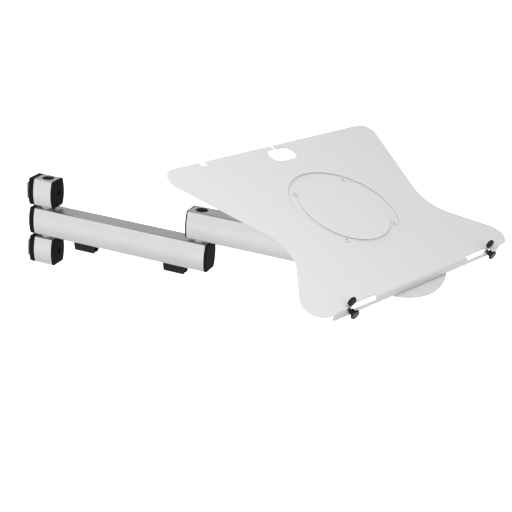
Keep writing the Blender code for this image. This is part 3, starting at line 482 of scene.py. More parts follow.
# Repeats a fastener on a grid of points
def patternTree():
    tree, start = newTree(
        "fastenerPattern",
        ("pitchX", "Float"), ("pitchY", "Float"), ("countX", "Int"), ("countY", "Int"),
    )
    sizes = {}
    for label in "XY":
        count = start["count" + label]
        spans = maths(tree, "SUBTRACT", count, 1.0)
        sizes["Size " + label] = maths(tree, "MULTIPLY", spans, start["pitch" + label])
        sizes["Vertices " + label] = count
    spread = {"Points": addNode(tree, "GeometryNodeMeshGrid", sizes), "Instance": start["Geometry"]}
    return endTree(tree, start, addNode(tree, "GeometryNodeInstanceOnPoints", spread))


# Presses evenly spaced flutes into the rim of a turned grip whose axis is Z
def fluteTree():
    tree, start = newTree(
        "gripFlutes", ("flutes", "Float"), ("depth", "Float"), ("rimRadius", "Float"),
    )
    where = addNode(tree, "GeometryNodeInputPosition")
    parts = addNode(tree, "ShaderNodeSeparateXYZ", {"Vector": where}).outputs
    flat = addNode(tree, "ShaderNodeCombineXYZ", {"X": parts["X"], "Y": parts["Y"]})
    angle = maths(tree, "ARCTAN2", parts["Y"], parts["X"])
    wave = maths(tree, "COSINE", maths(tree, "MULTIPLY", angle, start["flutes"]))
    lift = maths(tree, "MULTIPLY_ADD", wave, -0.5, 0.5)
    radius = addNode(tree, "ShaderNodeVectorMath", {0: flat}, operation="LENGTH")
    share = maths(tree, "DIVIDE", radius.outputs["Value"], start["rimRadius"])
    deep = maths(tree, "MULTIPLY", lift, start["depth"])
    press = maths(tree, "MULTIPLY", deep, maths(tree, "POWER", share, 6.0))
    unit = addNode(tree, "ShaderNodeVectorMath", {0: flat}, operation="NORMALIZE")
    offset = addNode(tree, "ShaderNodeVectorMath", {
        0: unit, "Scale": maths(tree, "MULTIPLY", press, -1.0),
    }, operation="SCALE")
    put = {"Geometry": start["Geometry"], "Offset": offset}
    return endTree(tree, start, addNode(tree, "GeometryNodeSetPosition", put))


drawExtrusion = extrusionTree()
repeatFastener = patternTree()
pressFlutes = fluteTree()
print("node trees built")


def extrusion(low, high):
    rings = barrelSection(), barrelSection(barrel["wall"])
    shape = bmesh.new()
    outer, inner = ([shape.verts.new((low, y, z)) for y, z in ring] for ring in rings)
    for i in range(len(outer)):
        j = (i + 1) % len(outer)
        shape.faces.new((outer[i], outer[j], inner[j], inner[i]))
    bmesh.ops.recalc_face_normals(shape, faces=shape.faces)
    if shape.faces[:][0].normal.x < 0:
        bmesh.ops.reverse_faces(shape, faces=shape.faces)
    tube = grown(drawExtrusion, shape, "arm_silver", length=high - low)
    ends = [
        side for side in tube.edges
        if abs(side.verts[0].co.x - side.verts[1].co.x) < 0.000001
        and side.calc_face_angle(0.0) > radians(60)
    ]
    bmesh.ops.bevel(
        tube, geom=ends, offset=barrel["endBreak"], segments=3, profile=0.5, affect="EDGES",
    )
    return tube


# The shadow line where a cap meets an extrusion, in (along, inset) stations
groove = [(gap, 0.0009), (0.0008, 0.0009), (0.0009, 0.0001), (0.0010, 0.0)]


def domed(thick, edge, steps=7):
    stations = list(groove)
    for step in range(steps + 1):
        turn = pi / 2 * step / steps
        stations.append((thick - edge + edge * sin(turn), 2 * edge * (1 - cos(turn))))
    return stations


# A moulded cap on an extrusion's end, with a spigot inside it
def capShape(end, direction, stations, spigot=0.0042):
    inner = barrel["wall"] + gap
    run = [(-spigot, inner + 0.0002), (gap, inner)] + stations
    return skin(
        [[(end + direction * along, y, z) for y, z in barrelSection(inset)] for along, inset in run]
    )


def hexNut(radius, low, high, bore):
    flat = radius * cos(pi / 6)
    soft = (radius - flat) * 0.6
    edge = flat - 0.0001
    crown = turned([(edge, low), (radius, low + soft), (radius, high - soft), (edge, high)])
    drill = rod(bore, low - over, high + over)
    return carved(rod(radius, low, high, 6), ("keep", crown), ("cut", drill))


# Rail blocks and shoulder column
blocks = {
    "rear": 0.01535,
    "front": 0.0142,
    "frontCap": (0.0016, 0.0043, 0.0118),  # rim, top and reach of its crown
    "backCap": (0.0090, 0.00995, 0.0042),  # flange, length, step
    "accessRadius": 0.0043,
    "screw": (0.0040, 0.0063, 0.0139),  # radius, start, end
    "screwSocket": 0.0023,
    "plate": (0.0034, 0.0260, 0.0252),  # thickness, width, height
    "stud": (0.0040, 0.0070),  # radius, length
}


def buildBlock(tag, level, outward):
    place = moved(shoulderX, 0, level)
    rear, front = -blocks["rear"], blocks["front"]
    cuts = []
    for side, bore in ((outward, layout["wideBore"]), (-outward, layout["bore"])):
        low, high = sorted((side * (half - wallCut), side * (half + over)))
        cuts.append(("cut", column(0, 0, low, high, bore)))
    settle(tag + "Block", carved(extrusion(rear, front), *cuts), place, "arm_silver", "mount")

    flange, length, ledge = blocks["backCap"]
    backFace = rear - length
    studRadius, studLength = blocks["stud"]
    backCap = capShape(rear, -1, [
        *groove, (flange - 0.0010, 0.0), (flange - 0.0004, 0.0002), (flange, 0.0008),
        (flange, ledge), (length - 0.0006, ledge), (length, ledge + 0.0006),
    ])
    pocket = rod(studRadius + gap, 0.0, studLength + 2 * over)
    pocket = aimed(pocket, (1, 0, 0), (backFace - 2 * over, 0, 0))
    settle(tag + "BackCap", carved(backCap, ("cut", pocket)), place, "cap_black", "mount",
           0.0002, [tag + "_block_back_cap"])

    rim, crownTop, spread = blocks["frontCap"]
    stations = list(groove)
    for step in range(12):  # a soft crown from the rim to the screw's hole
        share = step / 11
        rise = rim + (crownTop - rim) * sin(share * pi / 2)
        stations.append((rise, spread * share**2.1))
    mouth = blocks["accessRadius"]
    access = turned([
        (mouth, -0.0042 - crownTop), (mouth, -0.0009),
        (mouth + 0.0010, 0.0001), (mouth + 0.0010, 2 * over),
    ])
    access = aimed(access, (1, 0, 0), (front + crownTop, 0, 0))
    settle(tag + "FrontCap", carved(capShape(front, 1, stations), ("cut", access)), place,
           "cap_black", "mount", 0.0002, [tag + "_block_front_cap"])

    radius, start, end = blocks["screw"]
    profile = [(radius - 0.0008, start), (radius, start + 0.0008)]
    profile = threaded(profile, 0.0009, 0.0004, end - 0.0006) + [(radius - 0.0005, end)]
    socket = aimed(rod(blocks["screwSocket"], -0.0034, over, 6), (1, 0, 0), (end, 0, 0))
    screw = carved(aimed(turned(profile, 40), (1, 0, 0)), ("cut", socket))
    settle(tag + "LockScrew", screw, place, "screw_steel", "mount", 0.0)

    thick, width, height = blocks["plate"]
    seat = backFace - gap
    plate = prism("X", roundedBox(width / 2, height / 2, 0.0022), seat - thick, seat)
    stud = turned([
        (studRadius, -0.0006), (studRadius, studLength - 0.0005), (studRadius - 0.0005, studLength),
    ])
    stud = aimed(stud, (1, 0, 0), (seat, 0, 0))
    settle(tag + "RailPlate", carved(plate, ("add", stud)), place, "bright_steel", "mount", 0.0004)


buildBlock("lower", 0.0, -1)
buildBlock("upper", 2 * pitch, 1)

# Plugs and washers at the pivots, by radius and thickness
pivots = {"plug": (0.0085, 0.0024), "washer": (0.0100, 0.0031), "headWasher": (0.0165, 0.0020)}


# A press-in cover with a flush rim and a shallow dish
def addPlug(name, place, side, body):
    radius, thick = pivots["plug"]
    dish = thick - 0.0002
    shape = turned([
        (radius, 0.0), (radius, thick), (radius - 0.0010, thick),
        (radius - 0.0013, dish), (radius - 0.0030, dish),
    ])
    shape.transform(moved(0, 0, side * (half - thick)) @ Matrix.Diagonal((1, 1, side, 1)))
    settle(name, shape, place, "cap_black", body, 0.0002)


def addWasher(name, place, body, size="washer", finish="bush_white"):
    radius, thick = pivots[size]
    shape = washer(layout["bore"], radius, gap, gap + thick)
    settle(name, shape, place, finish, body, 0.0004)


addPlug("shoulderTopPlug", moved(shoulderX, 0, 2 * pitch), 1, "mount")
addPlug("shoulderBottomPlug", moved(shoulderX, 0, 0), -1, "mount")
addWasher("lowerShoulderWasher", moved(shoulderX, 0, half), "mount")
addWasher("upperShoulderWasher", moved(shoulderX, 0, pitch + half), "mount")
print("rail blocks and shoulder built")

# Arms: how far each end passes its pivot, and each cap's thickness and edge
arms = {
    "lowerRear": 0.0154,
    "lowerFront": 0.0138,
    "lowerRearCap": (0.0096, 0.0028),
    "lowerFrontCap": (0.0040, 0.0012),
    "upperRear": 0.0155,
    "upperFront": 0.0150,
    "upperRearCap": (0.0023, 0.0009),
    "upperFrontCap": (0.0040, 0.0012),
}
clips = {
    "places": {"rear": 0.0658, "front": 0.2133},
    "length": 0.0362,
    "width": 0.0150,
    "height": 0.0135,
    "wall": 0.0019,
    "slit": 0.0028,
    "corner": 0.0014,
    "taper": 0.13,
    "pegRadius": 0.0022,
    "pegPitch": 0.0180,
}


def buildArm(tag, length, place, *pegHoles):
    rear, front = -arms[tag + "Rear"], length + arms[tag + "Front"]
    end, skinIn = half + over, half - wallCut
    holes = [("cut", column(*hole)) for hole in (
        (0.0, 0.0, -end, end, layout["wideBore"]),
        (length, 0.0, skinIn, end, layout["bore"]),
        (length, 0.0, -end, -skinIn, layout["wideBore"]),
        *pegHoles,
    )]
    body = tag + "_arm"
    settle(tag + "Arm", carved(extrusion(rear, front), *holes), place, "arm_silver", body)
    for name, at, direction in (("Rear", rear, -1), ("Front", front, 1)):
        cap = capShape(at, direction, domed(*arms[tag + name + "Cap"]))
        settle(tag + "Arm" + name + "Cap", cap, place, "cap_black", body, 0.0002)


def buildClip(tag, place):
    halfWidth = clips["width"] / 2
    top = -half - gap
    low = top - clips["height"]
    wall, slit, soft = clips["wall"], clips["slit"] / 2, clips["corner"]
    inner, inLow, inTop = halfWidth - wall, low + wall, top - wall
    outline = rounded([
        (slit, low, 0.0), (halfWidth, low, soft), (halfWidth, top, 0.0),
        (-halfWidth, top, 0.0), (-halfWidth, low, soft), (-slit, low, 0.0),
        (-slit, inLow, 0.0), (-inner, inLow, soft), (-inner, inTop, soft),
        (inner, inTop, soft), (inner, inLow, soft), (slit, inLow, 0.0),
    ], 6)
    shape = prism("X", outline, -clips["length"] / 2, clips["length"] / 2)
    for vert in shape.verts:
        vert.co.x *= 1.0 - clips["taper"] * (top - vert.co.z) / clips["height"]
    pegTop = top + barrel["wall"] + 0.0008
    pegs = [
        ("add", column(side * clips["pegPitch"] / 2, 0, top - 0.0006, pegTop, clips["pegRadius"]))
        for side in (-1, 1)
    ]
    settle(tag + "CableClip", carved(shape, *pegs), lowerPlace @ moved(place, 0, 0),
           "clip_black", "lower_arm", 0.0004)


buildArm("lower", layout["lowerPivots"], lowerPlace, *(
    (place + side * clips["pegPitch"] / 2, 0.0, -half - over, -half + wallCut,
     clips["pegRadius"] + gap)
    for place in clips["places"].values() for side in (-1, 1)
))
addPlug("elbowBottomPlug", moved(elbowX, 0, pitch), -1, "lower_arm")
addWasher("elbowWasher", moved(elbowX, 0, pitch + half), "lower_arm")
for tag, place in clips["places"].items():
    buildClip(tag, place)

buildArm("upper", layout["upperPivots"], upperPlace)
addPlug("elbowTopPlug", upperPlace, 1, "upper_arm")
addPlug("headBottomPlug", upperPlace @ moved(layout["upperPivots"], 0, 0), -1, "upper_arm")
addWasher("headWasher", headColumn, "upper_arm", "headWasher", "cap_black")
print("arms built")

# Swivel and tilt head
head = {
    "base": (0.0026, 0.0060),  # underside, thickness
    "baseReach": (0.0195, 0.0170),  # behind and ahead of the pin
    "knuckleRadius": 0.0090,
    "knuckleWidth": 0.0240,
    "frictionThick": 0.0024,
    "lugThick": 0.0050,
    "axleRadius": 0.0040,
    "axleHead": (0.0070, 0.0040),  # radius, thickness
    "axleSocket": 0.0025,
    "plate": (0.0575, 0.0080, 0.0030),  # half width, corner, thickness
    "plateDrop": 0.0035,
    "screwPitch": 0.1000,
    "screwHole": 0.0023,
}
lugIn = head["knuckleWidth"] / 2 + head["frictionThick"] + 2 * gap
lugOut = lugIn + head["lugThick"]


# The four tray screws' holes
def screwHoles(low, high):
    reach = head["screwPitch"] / 2
    return [
        ("cut", column(x, y, low, high, head["screwHole"], 32))
        for x in (-reach, reach) for y in (-reach, reach)
    ]


def buildHead():
    setback, radius, pin = layout["tiltSetback"], head["knuckleRadius"], head["axleRadius"]
    low, thick = head["base"]
    high = low + thick
    rear, front = head["baseReach"]
    wide = lugOut + 0.0004
    base = prism("Z", rounded([
        (-rear, -wide, 0.004), (front, -wide, 0.012), (front, wide, 0.012), (-rear, wide, 0.004),
    ]), low, high)
    lug = [
        (-setback + radius + 0.004, high - 0.0006),
        *arc(radius, 0.0, pi, 32, -setback, layout["tiltRise"]),
        (-setback - radius - 0.0015, high - 0.0006),
    ]
    steps = [("add", prism("Y", lug, *sorted((side * lugIn, side * lugOut)))) for side in (-1, 1)]
    steps.append(("cut", rod(layout["bore"], low - over, high + over)))
    bore = rod(pin + gap, -lugOut - over, lugOut + over)
    steps.append(("cut", aimed(bore, (0, 1, 0), (-setback, 0, layout["tiltRise"]))))
    settle("headYoke", carved(base, *steps), headPlace, "head_grey", "head", 0.0005)

    reach = lugOut + gap
    cap, capThick = head["axleHead"]
    end = reach + capThick
    thread = threaded([(pin, reach - 0.006)], 0.0010, 0.0004, end - 0.0004)
    axle = turned([
        (cap - 0.0006, -end), (cap, -end + 0.0006), (cap, -reach), (pin, -reach),
        *thread, (pin - 0.0004, end),
    ], 48)
    socket = aimed(rod(head["axleSocket"], -end - over, -reach - 0.0012, 6), (0, 1, 0))
    axle = carved(aimed(axle, (0, 1, 0)), ("cut", socket))
    settle("tiltAxle", axle, axlePlace, "bright_steel", "head", 0.0)
    nut = aimed(hexNut(cap, reach, end - gap, pin + gap), (0, 1, 0))
    settle("tiltNut", nut, axlePlace, "bright_steel", "head", 0.0001)
    for tag, side in (("left", -1), ("right", 1)):
        near, far = sorted((side * (head["knuckleWidth"] / 2 + gap), side * (lugIn - gap)))
        disc = aimed(washer(pin + gap, radius - 0.0005, near, far), (0, 1, 0))
        settle(tag + "FrictionWasher", disc, axlePlace, "cap_black", "head")


def buildBracket():
    radius, width = head["knuckleRadius"], head["knuckleWidth"] / 2
    reach, soft, thick = head["plate"]
    top = trayRise - head["plateDrop"] - gap
    low = top - thick
    knuckle = [
        (radius + 0.006, low + 0.0006), (-radius - 0.006, low + 0.0006),
        *arc(radius, pi, 2 * pi, 32),
    ]
    bore = rod(head["axleRadius"] + gap, -width - over, width + over)
    plate = carved(
        prism("Z", roundedBox(reach, reach, soft, 12), low, top),
        ("add", prism("Y", knuckle, -width, width)),
        ("cut", aimed(bore, (0, 1, 0))), *screwHoles(low - over, top + over),
    )
    settle("tiltBracket", plate, trayPlace, "head_grey", "tray", 0.0005)


buildHead()
buildBracket()
print("head built")

# Tray
tray = {
    "sheet": 0.0020,
    "halfDepth": 0.1480,
    "rearHalf": 0.2177,
    "frontHalf": 0.2335,
    "waist": (0.0384, 0.1372, 0.0600),  # forward, half width, radius
    "rearCorner": 0.0182,
    "rearLeftCorner": 0.0235,
    "frontCorner": 0.0224,
    "ringInner": 0.0640,
    "ringOuter": 0.0800,
    "ringDepth": 0.0015,
    "ringSlope": 0.0006,
    "ringLip": 0.0003,
    "ringRelief": 0.0015,
    "underChamfer": 0.0012,
    "cableHole": (0.0262, 0.0470),  # depth, width
    "cableHoleInset": 0.0210,
    "cableHoleShift": 0.0020,
    "cableSlit": 0.0050,
    "notch": (-0.1325, 0.0110, 0.0085, 0.0045),  # place, width, depth, corner
    "lipHeight": 0.0115,
    "lipHalf": 0.1750,
    "lipCorner": 0.0030,
    "lipBend": 0.0030,
    "lipStep": 0.0004,
    "slot": (0.0970, 0.1545, 0.0055),  # inner end, outer end, depth
    "slotStrip": 0.0057,
    "screw": (0.0020, 0.0072, 0.0007, 0.0003),  # radius, length, thread pitch and depth
    "screwHead": (0.0040, 0.0010, 0.0004),  # radius, run and height of its edge
    "screwSocket": (0.0017, 0.0014),  # radius, depth
}


# The sheet, flat on top, with a chamfer under its edge
def traySheet():
    top, back, edge = trayRise, -tray["halfDepth"], tray["halfDepth"] - tray["lipStep"]
    rear, front, (forward, waist, sweep) = tray["rearHalf"], tray["frontHalf"], tray["waist"]
    outline = rounded([
        (back, -rear, tray["rearLeftCorner"]), (forward, -waist, sweep),
        (edge, -front, tray["frontCorner"]), (edge, front, tray["frontCorner"]),
        (forward, waist, sweep), (back, rear, tray["rearCorner"]),
    ], 24)
    chamfer = tray["underChamfer"]
    panel = prism("Z", outline, top - tray["sheet"] + chamfer, top)
    under = min(panel.faces[:], key=lambda face: face.calc_center_median().z)
    bmesh.ops.inset_region(
        panel, faces=[under], thickness=chamfer, depth=chamfer, use_even_offset=True,
    )
    return panel


# The lip, and the tool that rounds the bend above it
def trayLip():
    top, front, wide = trayRise, tray["halfDepth"], tray["lipHalf"]
    low, joint, soft = top - tray["lipHeight"], top - tray["sheet"] / 2, tray["lipCorner"]
    lip = rounded([
        (-wide, joint, 0.0), (-wide, low, soft), (wide, low, soft), (wide, joint, 0.0),
    ], 8)
    bend, clear = tray["lipBend"], wide + tray["lipStep"]
    past = 0.07 * bend  # keeps the tool's ends off the two faces
    inX, inZ = front - bend, top - bend
    corner = [(inX - past, top + over), (inX - past, top + past)]
    for step in range(1, 12):
        turn = pi / 2 * step / 12
        corner.append((inX + bend * sin(turn), inZ + bend * cos(turn)))
    corner += [(front + past, inZ - past), (front + over, inZ - past), (front + over, top + over)]
    return [
        ("add", prism("X", lip, front - tray["sheet"], front)),
        ("cut", prism("Y", corner, -clear, clear)),
    ]


# A ring pressed down through the sheet, undercut behind both walls so that they draw dark
def trayRing():
    top, depth, slope = trayRise, tray["ringDepth"], tray["ringSlope"]
    low, inner, outer = top - tray["sheet"], tray["ringInner"], tray["ringOuter"]
    join = 0.0006  # how far the ring's tools run into the sheet
    spread = slope * (1 + join / depth)
    bulge = turned([
        (inner - spread, low + join), (inner, low - depth),
        (outer, low - depth), (outer + spread, low + join),
    ], 144, True)
    wallIn, wallOut = inner + slope, outer - slope
    steps = [("add", bulge), ("cut", washer(wallIn, wallOut, top - depth, top + join, 144))]
    relief, lap = tray["ringRelief"], 0.0002
    for near, far in ((wallIn - relief, wallIn + lap), (wallOut - lap, wallOut + relief)):
        steps.append(("cut", washer(near, far, top - depth, top - tray["ringLip"], 144)))
    return steps


# Tools for the cable hole, its slit, the notch, the lip's slots and the screw holes
def trayOpenings():
    top, front, back = trayRise, tray["halfDepth"], -tray["halfDepth"]
    low, high, outside = top - tray["sheet"] - 2 * over, top + 2 * over, back - 2 * over
    holeX, shift = back + tray["cableHoleInset"], tray["cableHoleShift"]
    wide, long = (size / 2 for size in tray["cableHole"])
    hole = [(x + holeX, y + shift) for x, y in roundedBox(wide, long, wide - 0.0001, 16)]
    place, width, deep, soft = tray["notch"]
    left, right, end = place - width / 2, place + width / 2, back + deep
    notch = [(outside, left, 0.0), (end, left, soft), (end, right, soft), (outside, right, 0.0)]
    slit = tray["cableSlit"] / 2
    tools = [
        prism("Z", hole, low, high),
        box((outside, -slit, low), (holeX, slit, high)),
        prism("Z", rounded(notch, 8), low, high),
    ]
    slotIn, slotOut, slotBack = tray["slot"]
    slotLow = top - tray["lipHeight"] + tray["slotStrip"]
    for side in (-1, 1):
        near, far = sorted((side * slotIn, side * slotOut))
        tools.append(box((front - slotBack, near, slotLow), (front + 2 * over, far, high)))
    return [("cut", tool) for tool in tools] + screwHoles(top - 0.006, top + over)


def buildTrayScrews():
    top = trayRise
    grid = {"pitchX": head["screwPitch"], "pitchY": head["screwPitch"], "countX": 2, "countY": 2}
    radius, length, threadPitch, depth = tray["screw"]
    wide, run, crown = tray["screwHead"]
    socket, deep = tray["screwSocket"]
    low = top - tray["ringDepth"] + gap
    profile = [(radius - 0.0001, low - length), (radius, low - length + 0.0004)]
    profile = threaded(profile, threadPitch, depth, low - 0.0004) + [(radius, low), (wide, low)]
    for step in range(1, 7):
        turn = pi / 2 * step / 6
        profile.append((wide - run + run * cos(turn), top - crown + crown * sin(turn)))
    screw = carved(turned(profile, 32), ("cut", rod(socket, top - deep, top + over, 6)))
    screws = grown(repeatFastener, screw, "tray_white", **grid)
    settle("trayScrews", screws, trayPlace, "tray_white", "tray", 0.0,
           ["tray_screw_1", "tray_screw_2", "tray_screw_3", "tray_screw_4"])
    # The dark steel discs at the bottoms of the screws' sockets are painted shade: they make the
    # shallow sockets read as dark dots
    floor = turned([(0.0014, top - 0.0013), (0.0014, top - 0.0009), (0.0004, top - 0.0011)], 6)
    socketShadeDiscs = grown(repeatFastener, floor, "screw_steel", **grid)
    settle("screwSocketFloors", socketShadeDiscs, trayPlace, "screw_steel", "tray", 0.0, [])


panel = carved(traySheet(), *trayLip(), *trayRing(), *trayOpenings())
settle("trayPanel", panel, trayPlace, "tray_white", "tray", 0.00012, ["tray"])
buildTrayScrews()
print("tray built")

# Round platform, its bar and its post
platform = {
    "radius": 0.0975,
    "forward": 0.0680,
    "drop": 0.0126,
    "pivot": (0.0600, 0.1180),
    "thick": 0.0020,
    "neckRoom": 0.0180,
    "barWidth": 0.0240,
    "barThick": 0.0030,
    "barOverrun": 0.0300,
    "post": (0.0040, 0.0070, 0.0130, 0.0015),  # bolt, collar, flange and its thickness
    "nut": (0.0075, 0.0040),  # radius, thickness
    "rivet": (0.0035, 0.0020, 0.0009),  # head, shank, head thickness
    "rivetPitch": 0.0500,
}


# The channel in the disc that clears the head's neck through the whole swing
def neckChannel(neck):
    room, far = platform["neckRoom"], neck.length
    sweep = 2 * asin((platform["radius"] + room) / (2 * far))
    start = atan2(neck.y, neck.x)
    channel = arc(far + room, start, start - sweep, 16)
    channel += arc(far - room, start - sweep, start, 16)
    return channel + arc(room, start + pi, start, 24, neck.x, neck.y)[1:-1]


def buildPlatform():
    postX, postY = platform["pivot"]
    place = trayPlace @ moved(postX, postY, trayRise)
    high = -platform["drop"]
    low = high - platform["thick"]
    barHigh = low - gap
    barLow = barHigh - platform["barThick"]
    nutHigh = barLow - gap
    bolt, collar, flange, flangeThick = platform["post"]
    nutRadius, nutThick = platform["nut"]
    end, under = nutHigh - nutThick - 0.0006, -tray["sheet"] - gap
    post = turned([
        (bolt - 0.0004, end), (bolt, end + 0.0004), (bolt, barHigh + gap), (collar, barHigh + gap),
        (collar, under - flangeThick), (flange, under - flangeThick), (flange, under),
    ])
    settle("platformPost", post, place, "bright_steel", "tray")
    nut = hexNut(nutRadius, nutHigh - nutThick, nutHigh, bolt + gap)
    settle("platformNut", nut, place, "bright_steel", "tray", 0.0001)

    middle = Vector((platform["forward"] - postX, -postY))
    reach, heading = middle.length, atan2(middle.y, middle.x)
    halfBar = platform["barWidth"] / 2
    outline = arc(halfBar, pi / 2, 1.5 * pi, 32)
    outline += arc(halfBar, -pi / 2, pi / 2, 32, reach + platform["barOverrun"] - halfBar)
    bar = prism("Z", outline, barLow, barHigh)
    bar.transform(Matrix.Rotation(heading, 4, "Z"))
    barCuts = [("cut", rod(bolt + gap, barLow - over, barHigh + over))]
    disc = rod(platform["radius"], low, high, 160)
    disc.transform(moved(middle.x, middle.y, 0))
    channel = neckChannel(Vector((-postX, -postY)))
    discCuts = [("cut", prism("Z", channel, low - over, high + over))]

    wide, shank, thick = platform["rivet"]
    sink, seat = high - thick - gap, barLow - gap
    rivet = turned([
        (wide - 0.0006, seat - 0.0012), (wide, seat - 0.0006), (wide, seat), (shank, seat),
        (shank, sink + gap), (wide, sink + gap), (wide, high - 0.0001), (wide - 0.0001, high),
    ], 32)
    along, spacing = reach - halfBar, platform["rivetPitch"]
    for offset in (-spacing / 2, spacing / 2):
        spot = polar(along + offset, heading)
        through = column(*spot, barLow - over, high + over, shank + gap, 32)
        barCuts.append(("cut", through.copy()))
        sunk = column(*spot, sink, high + over, wide + gap, 32)
        discCuts += [("cut", through), ("cut", sunk)]
    rivets = grown(repeatFastener, rivet, "bright_steel", pitchX=spacing, countX=2, countY=1)
    rivets.transform(Matrix.Rotation(heading, 4, "Z") @ moved(along, 0, 0))
    settle("platformRivets", rivets, place, "bright_steel", "platform", 0.0,
           ["platform_rivet_1", "platform_rivet_2"])
    settle("swingBar", carved(bar, *barCuts), place, "head_grey", "platform", 0.0005)
    settle("mousePlatform", carved(disc, *discCuts), place, "tray_white", "platform", 0.0004)


buildPlatform()
print("platform built")

# Sliding stops and thumb knobs
stops = {
    "places": {"left": -0.1470, "right": 0.1490},
    "knobDrop": 0.0039,
    "stem": (0.0076, 0.0020, 0.0098, 0.0060),  # width, thickness, rise, drop
    "boss": 0.0008,
    "pad": (0.0128, 0.0126, 0.0044),  # width, height, thickness
    "padLift": 0.0012,
    "shank": 0.0015,
    "neck": (0.0039, 0.0057),  # radius, length
    "grip": (0.0065, 0.0032),  # radius, thickness
    "flutes": 10.0,
    "fluteDepth": 0.0005,
    # half of the pad's soft rim and dished face, as shares of its half thickness and radius
    "padEdges": (
        (0.0, 1.0), (0.50, 0.985), (0.80, 0.94), (0.97, 0.86), (1.0, 0.80), (0.96, 0.74),
        (0.76, 0.62), (0.74, 0.40),
    ),
    # the grip's inner and outer ends, as shares of its radius and depths from each end
    "gripInner": ((0.66, 0.0), (0.90, 0.0001), (0.97, 0.0003), (1.0, 0.0007), (1.0, 0.0012)),
    "gripOuter": (
        (1.0, 0.0012), (1.0, 0.0008), (0.98, 0.0004), (0.94, 0.0001), (0.88, 0.0), (0.80, 0.0),
        (0.76, 0.0002), (0.72, 0.0005), (0.30, 0.0005),
    ),
}


# A round outline drawn a little towards six flat sides, on a circle of radius 1
def sixSided(count=72):
    outline = []
    for i in range(count):
        around = tau * i / count
        flat = (around + pi / 6) % (pi / 3) - pi / 6
        reach = 0.55 + 0.45 * cos(pi / 6) / cos(flat)
        outline.append((reach * sin(around), reach * cos(around)))
    return outline


def buildStop(tag):
    place = trayPlace @ moved(tray["halfDepth"], stops["places"][tag], trayRise - stops["knobDrop"])
    width, thick, rise, drop = stops["stem"]
    rear = -tray["sheet"] - gap - thick
    side, top = width / 2, stops["knobDrop"] + rise
    stem = prism("X", rounded([
        (-side, -drop, 0.0015), (side, -drop, 0.0015), (side, top, 0.0025), (-side, top, 0.0025),
    ], 8), rear, rear + thick)
    shank, bossRise = stops["shank"], stops["boss"]
    boss = aimed(rod(shank + 0.0020, -0.0006, bossRise, 40), (-1, 0, 0), (rear, 0, 0))
    bore = rod(shank + gap, -over, bossRise + thick + over, 32)
    bore = aimed(bore, (-1, 0, 0), (rear + thick, 0, 0))
    stem = carved(stem, ("add", boss), ("cut", bore))
    settle(tag + "StopStem", stem, place, "stem_grey", tag + "_stop", 0.0002)

    padWidth, padHeight, padThick = stops["pad"]
    middle = stops["knobDrop"] + stops["padLift"] + padHeight / 2
    edges = stops["padEdges"]
    edges = [(-lift, share) for lift, share in edges[:0:-1]] + [*edges]
    pad = skin([
        [(rear + thick / 2 + padThick / 2 * lift, share * y * padWidth / 2,
          middle + share * z * padHeight / 2) for y, z in sixSided()]
        for lift, share in edges
    ])
    pocket = box((rear - gap, -side - gap, stops["knobDrop"]),
                 (rear + thick + gap, side + gap, top + gap))
    pad = carved(pad, ("cut", pocket))
    settle(tag + "StopPad", pad, place, "rubber_black", tag + "_stop", 0.0002)

    neck, neckLength = stops["neck"]
    radius, gripThick = stops["grip"]
    start = gap + neckLength
    face = start + gripThick
    profile = [(radius * share, start + lift) for share, lift in stops["gripInner"]]
    profile += [(radius * share, face - sink) for share, sink in stops["gripOuter"]]
    grip = grown(pressFlutes, turned(profile, 120), "knob_black", rimRadius=radius,
                 flutes=stops["flutes"], depth=stops["fluteDepth"])
    end = rear - bossRise + gap
    stalk = turned([
        (shank - 0.0003, end), (shank, end + 0.0003), (shank, gap), (neck - 0.0004, gap),
        (neck, gap + 0.0004), (neck, start - 0.0010), (neck + 0.0003, start - 0.0003),
        (neck + 0.0010, start + 0.0002), (neck + 0.0010, start + 0.0006),
    ], 48)
    knob = aimed(carved(grip, ("add", stalk)), (1, 0, 0))
    settle(tag + "ThumbKnob", knob, place, "knob_black", tag + "_knob", 0.0)


buildStop("left")
buildStop("right")
print("stops and knobs built")

# Floor, light and camera; each ramp is the span over which one tone turns into the next
studio = {
    "floorHeight": -0.42,
    "floorRadius": 40.0,
    "floorColour": 0.88,
    "glowSpan": (0.35, 1.3),
    "glow": (0.33, 1.02),
    "horizon": 1.1,
    "skyBack": 0.74,
    "backRamp": (0.10, 0.32),
    "skyFront": 1.70,
    "frontRamp": (0.0, 0.08),
    "skyTop": 0.32,
    "topRamp": (0.38, 0.62),
    "facing": (-0.50, -0.87, 0.0),
    "facingRamp": (0.35, 0.80),
    "dome": (0.42, 0.78),
    "domeRamp": (0.0, 0.8),
    "key": ((-1.15, 0.40, 1.30), 10.0, 0.8),  # place, power, size
    "fill": ((0.50, -0.90, 0.85), 4.2, 0.5),
    "target": (0.33, 0.0, 0.06),
}
# The camera, with its yaw, dip and roll
view = {"at": (0.8214, -1.2586, 0.6250), "turns": (19.94, 22.83, 4.38), "lens": 73.02}


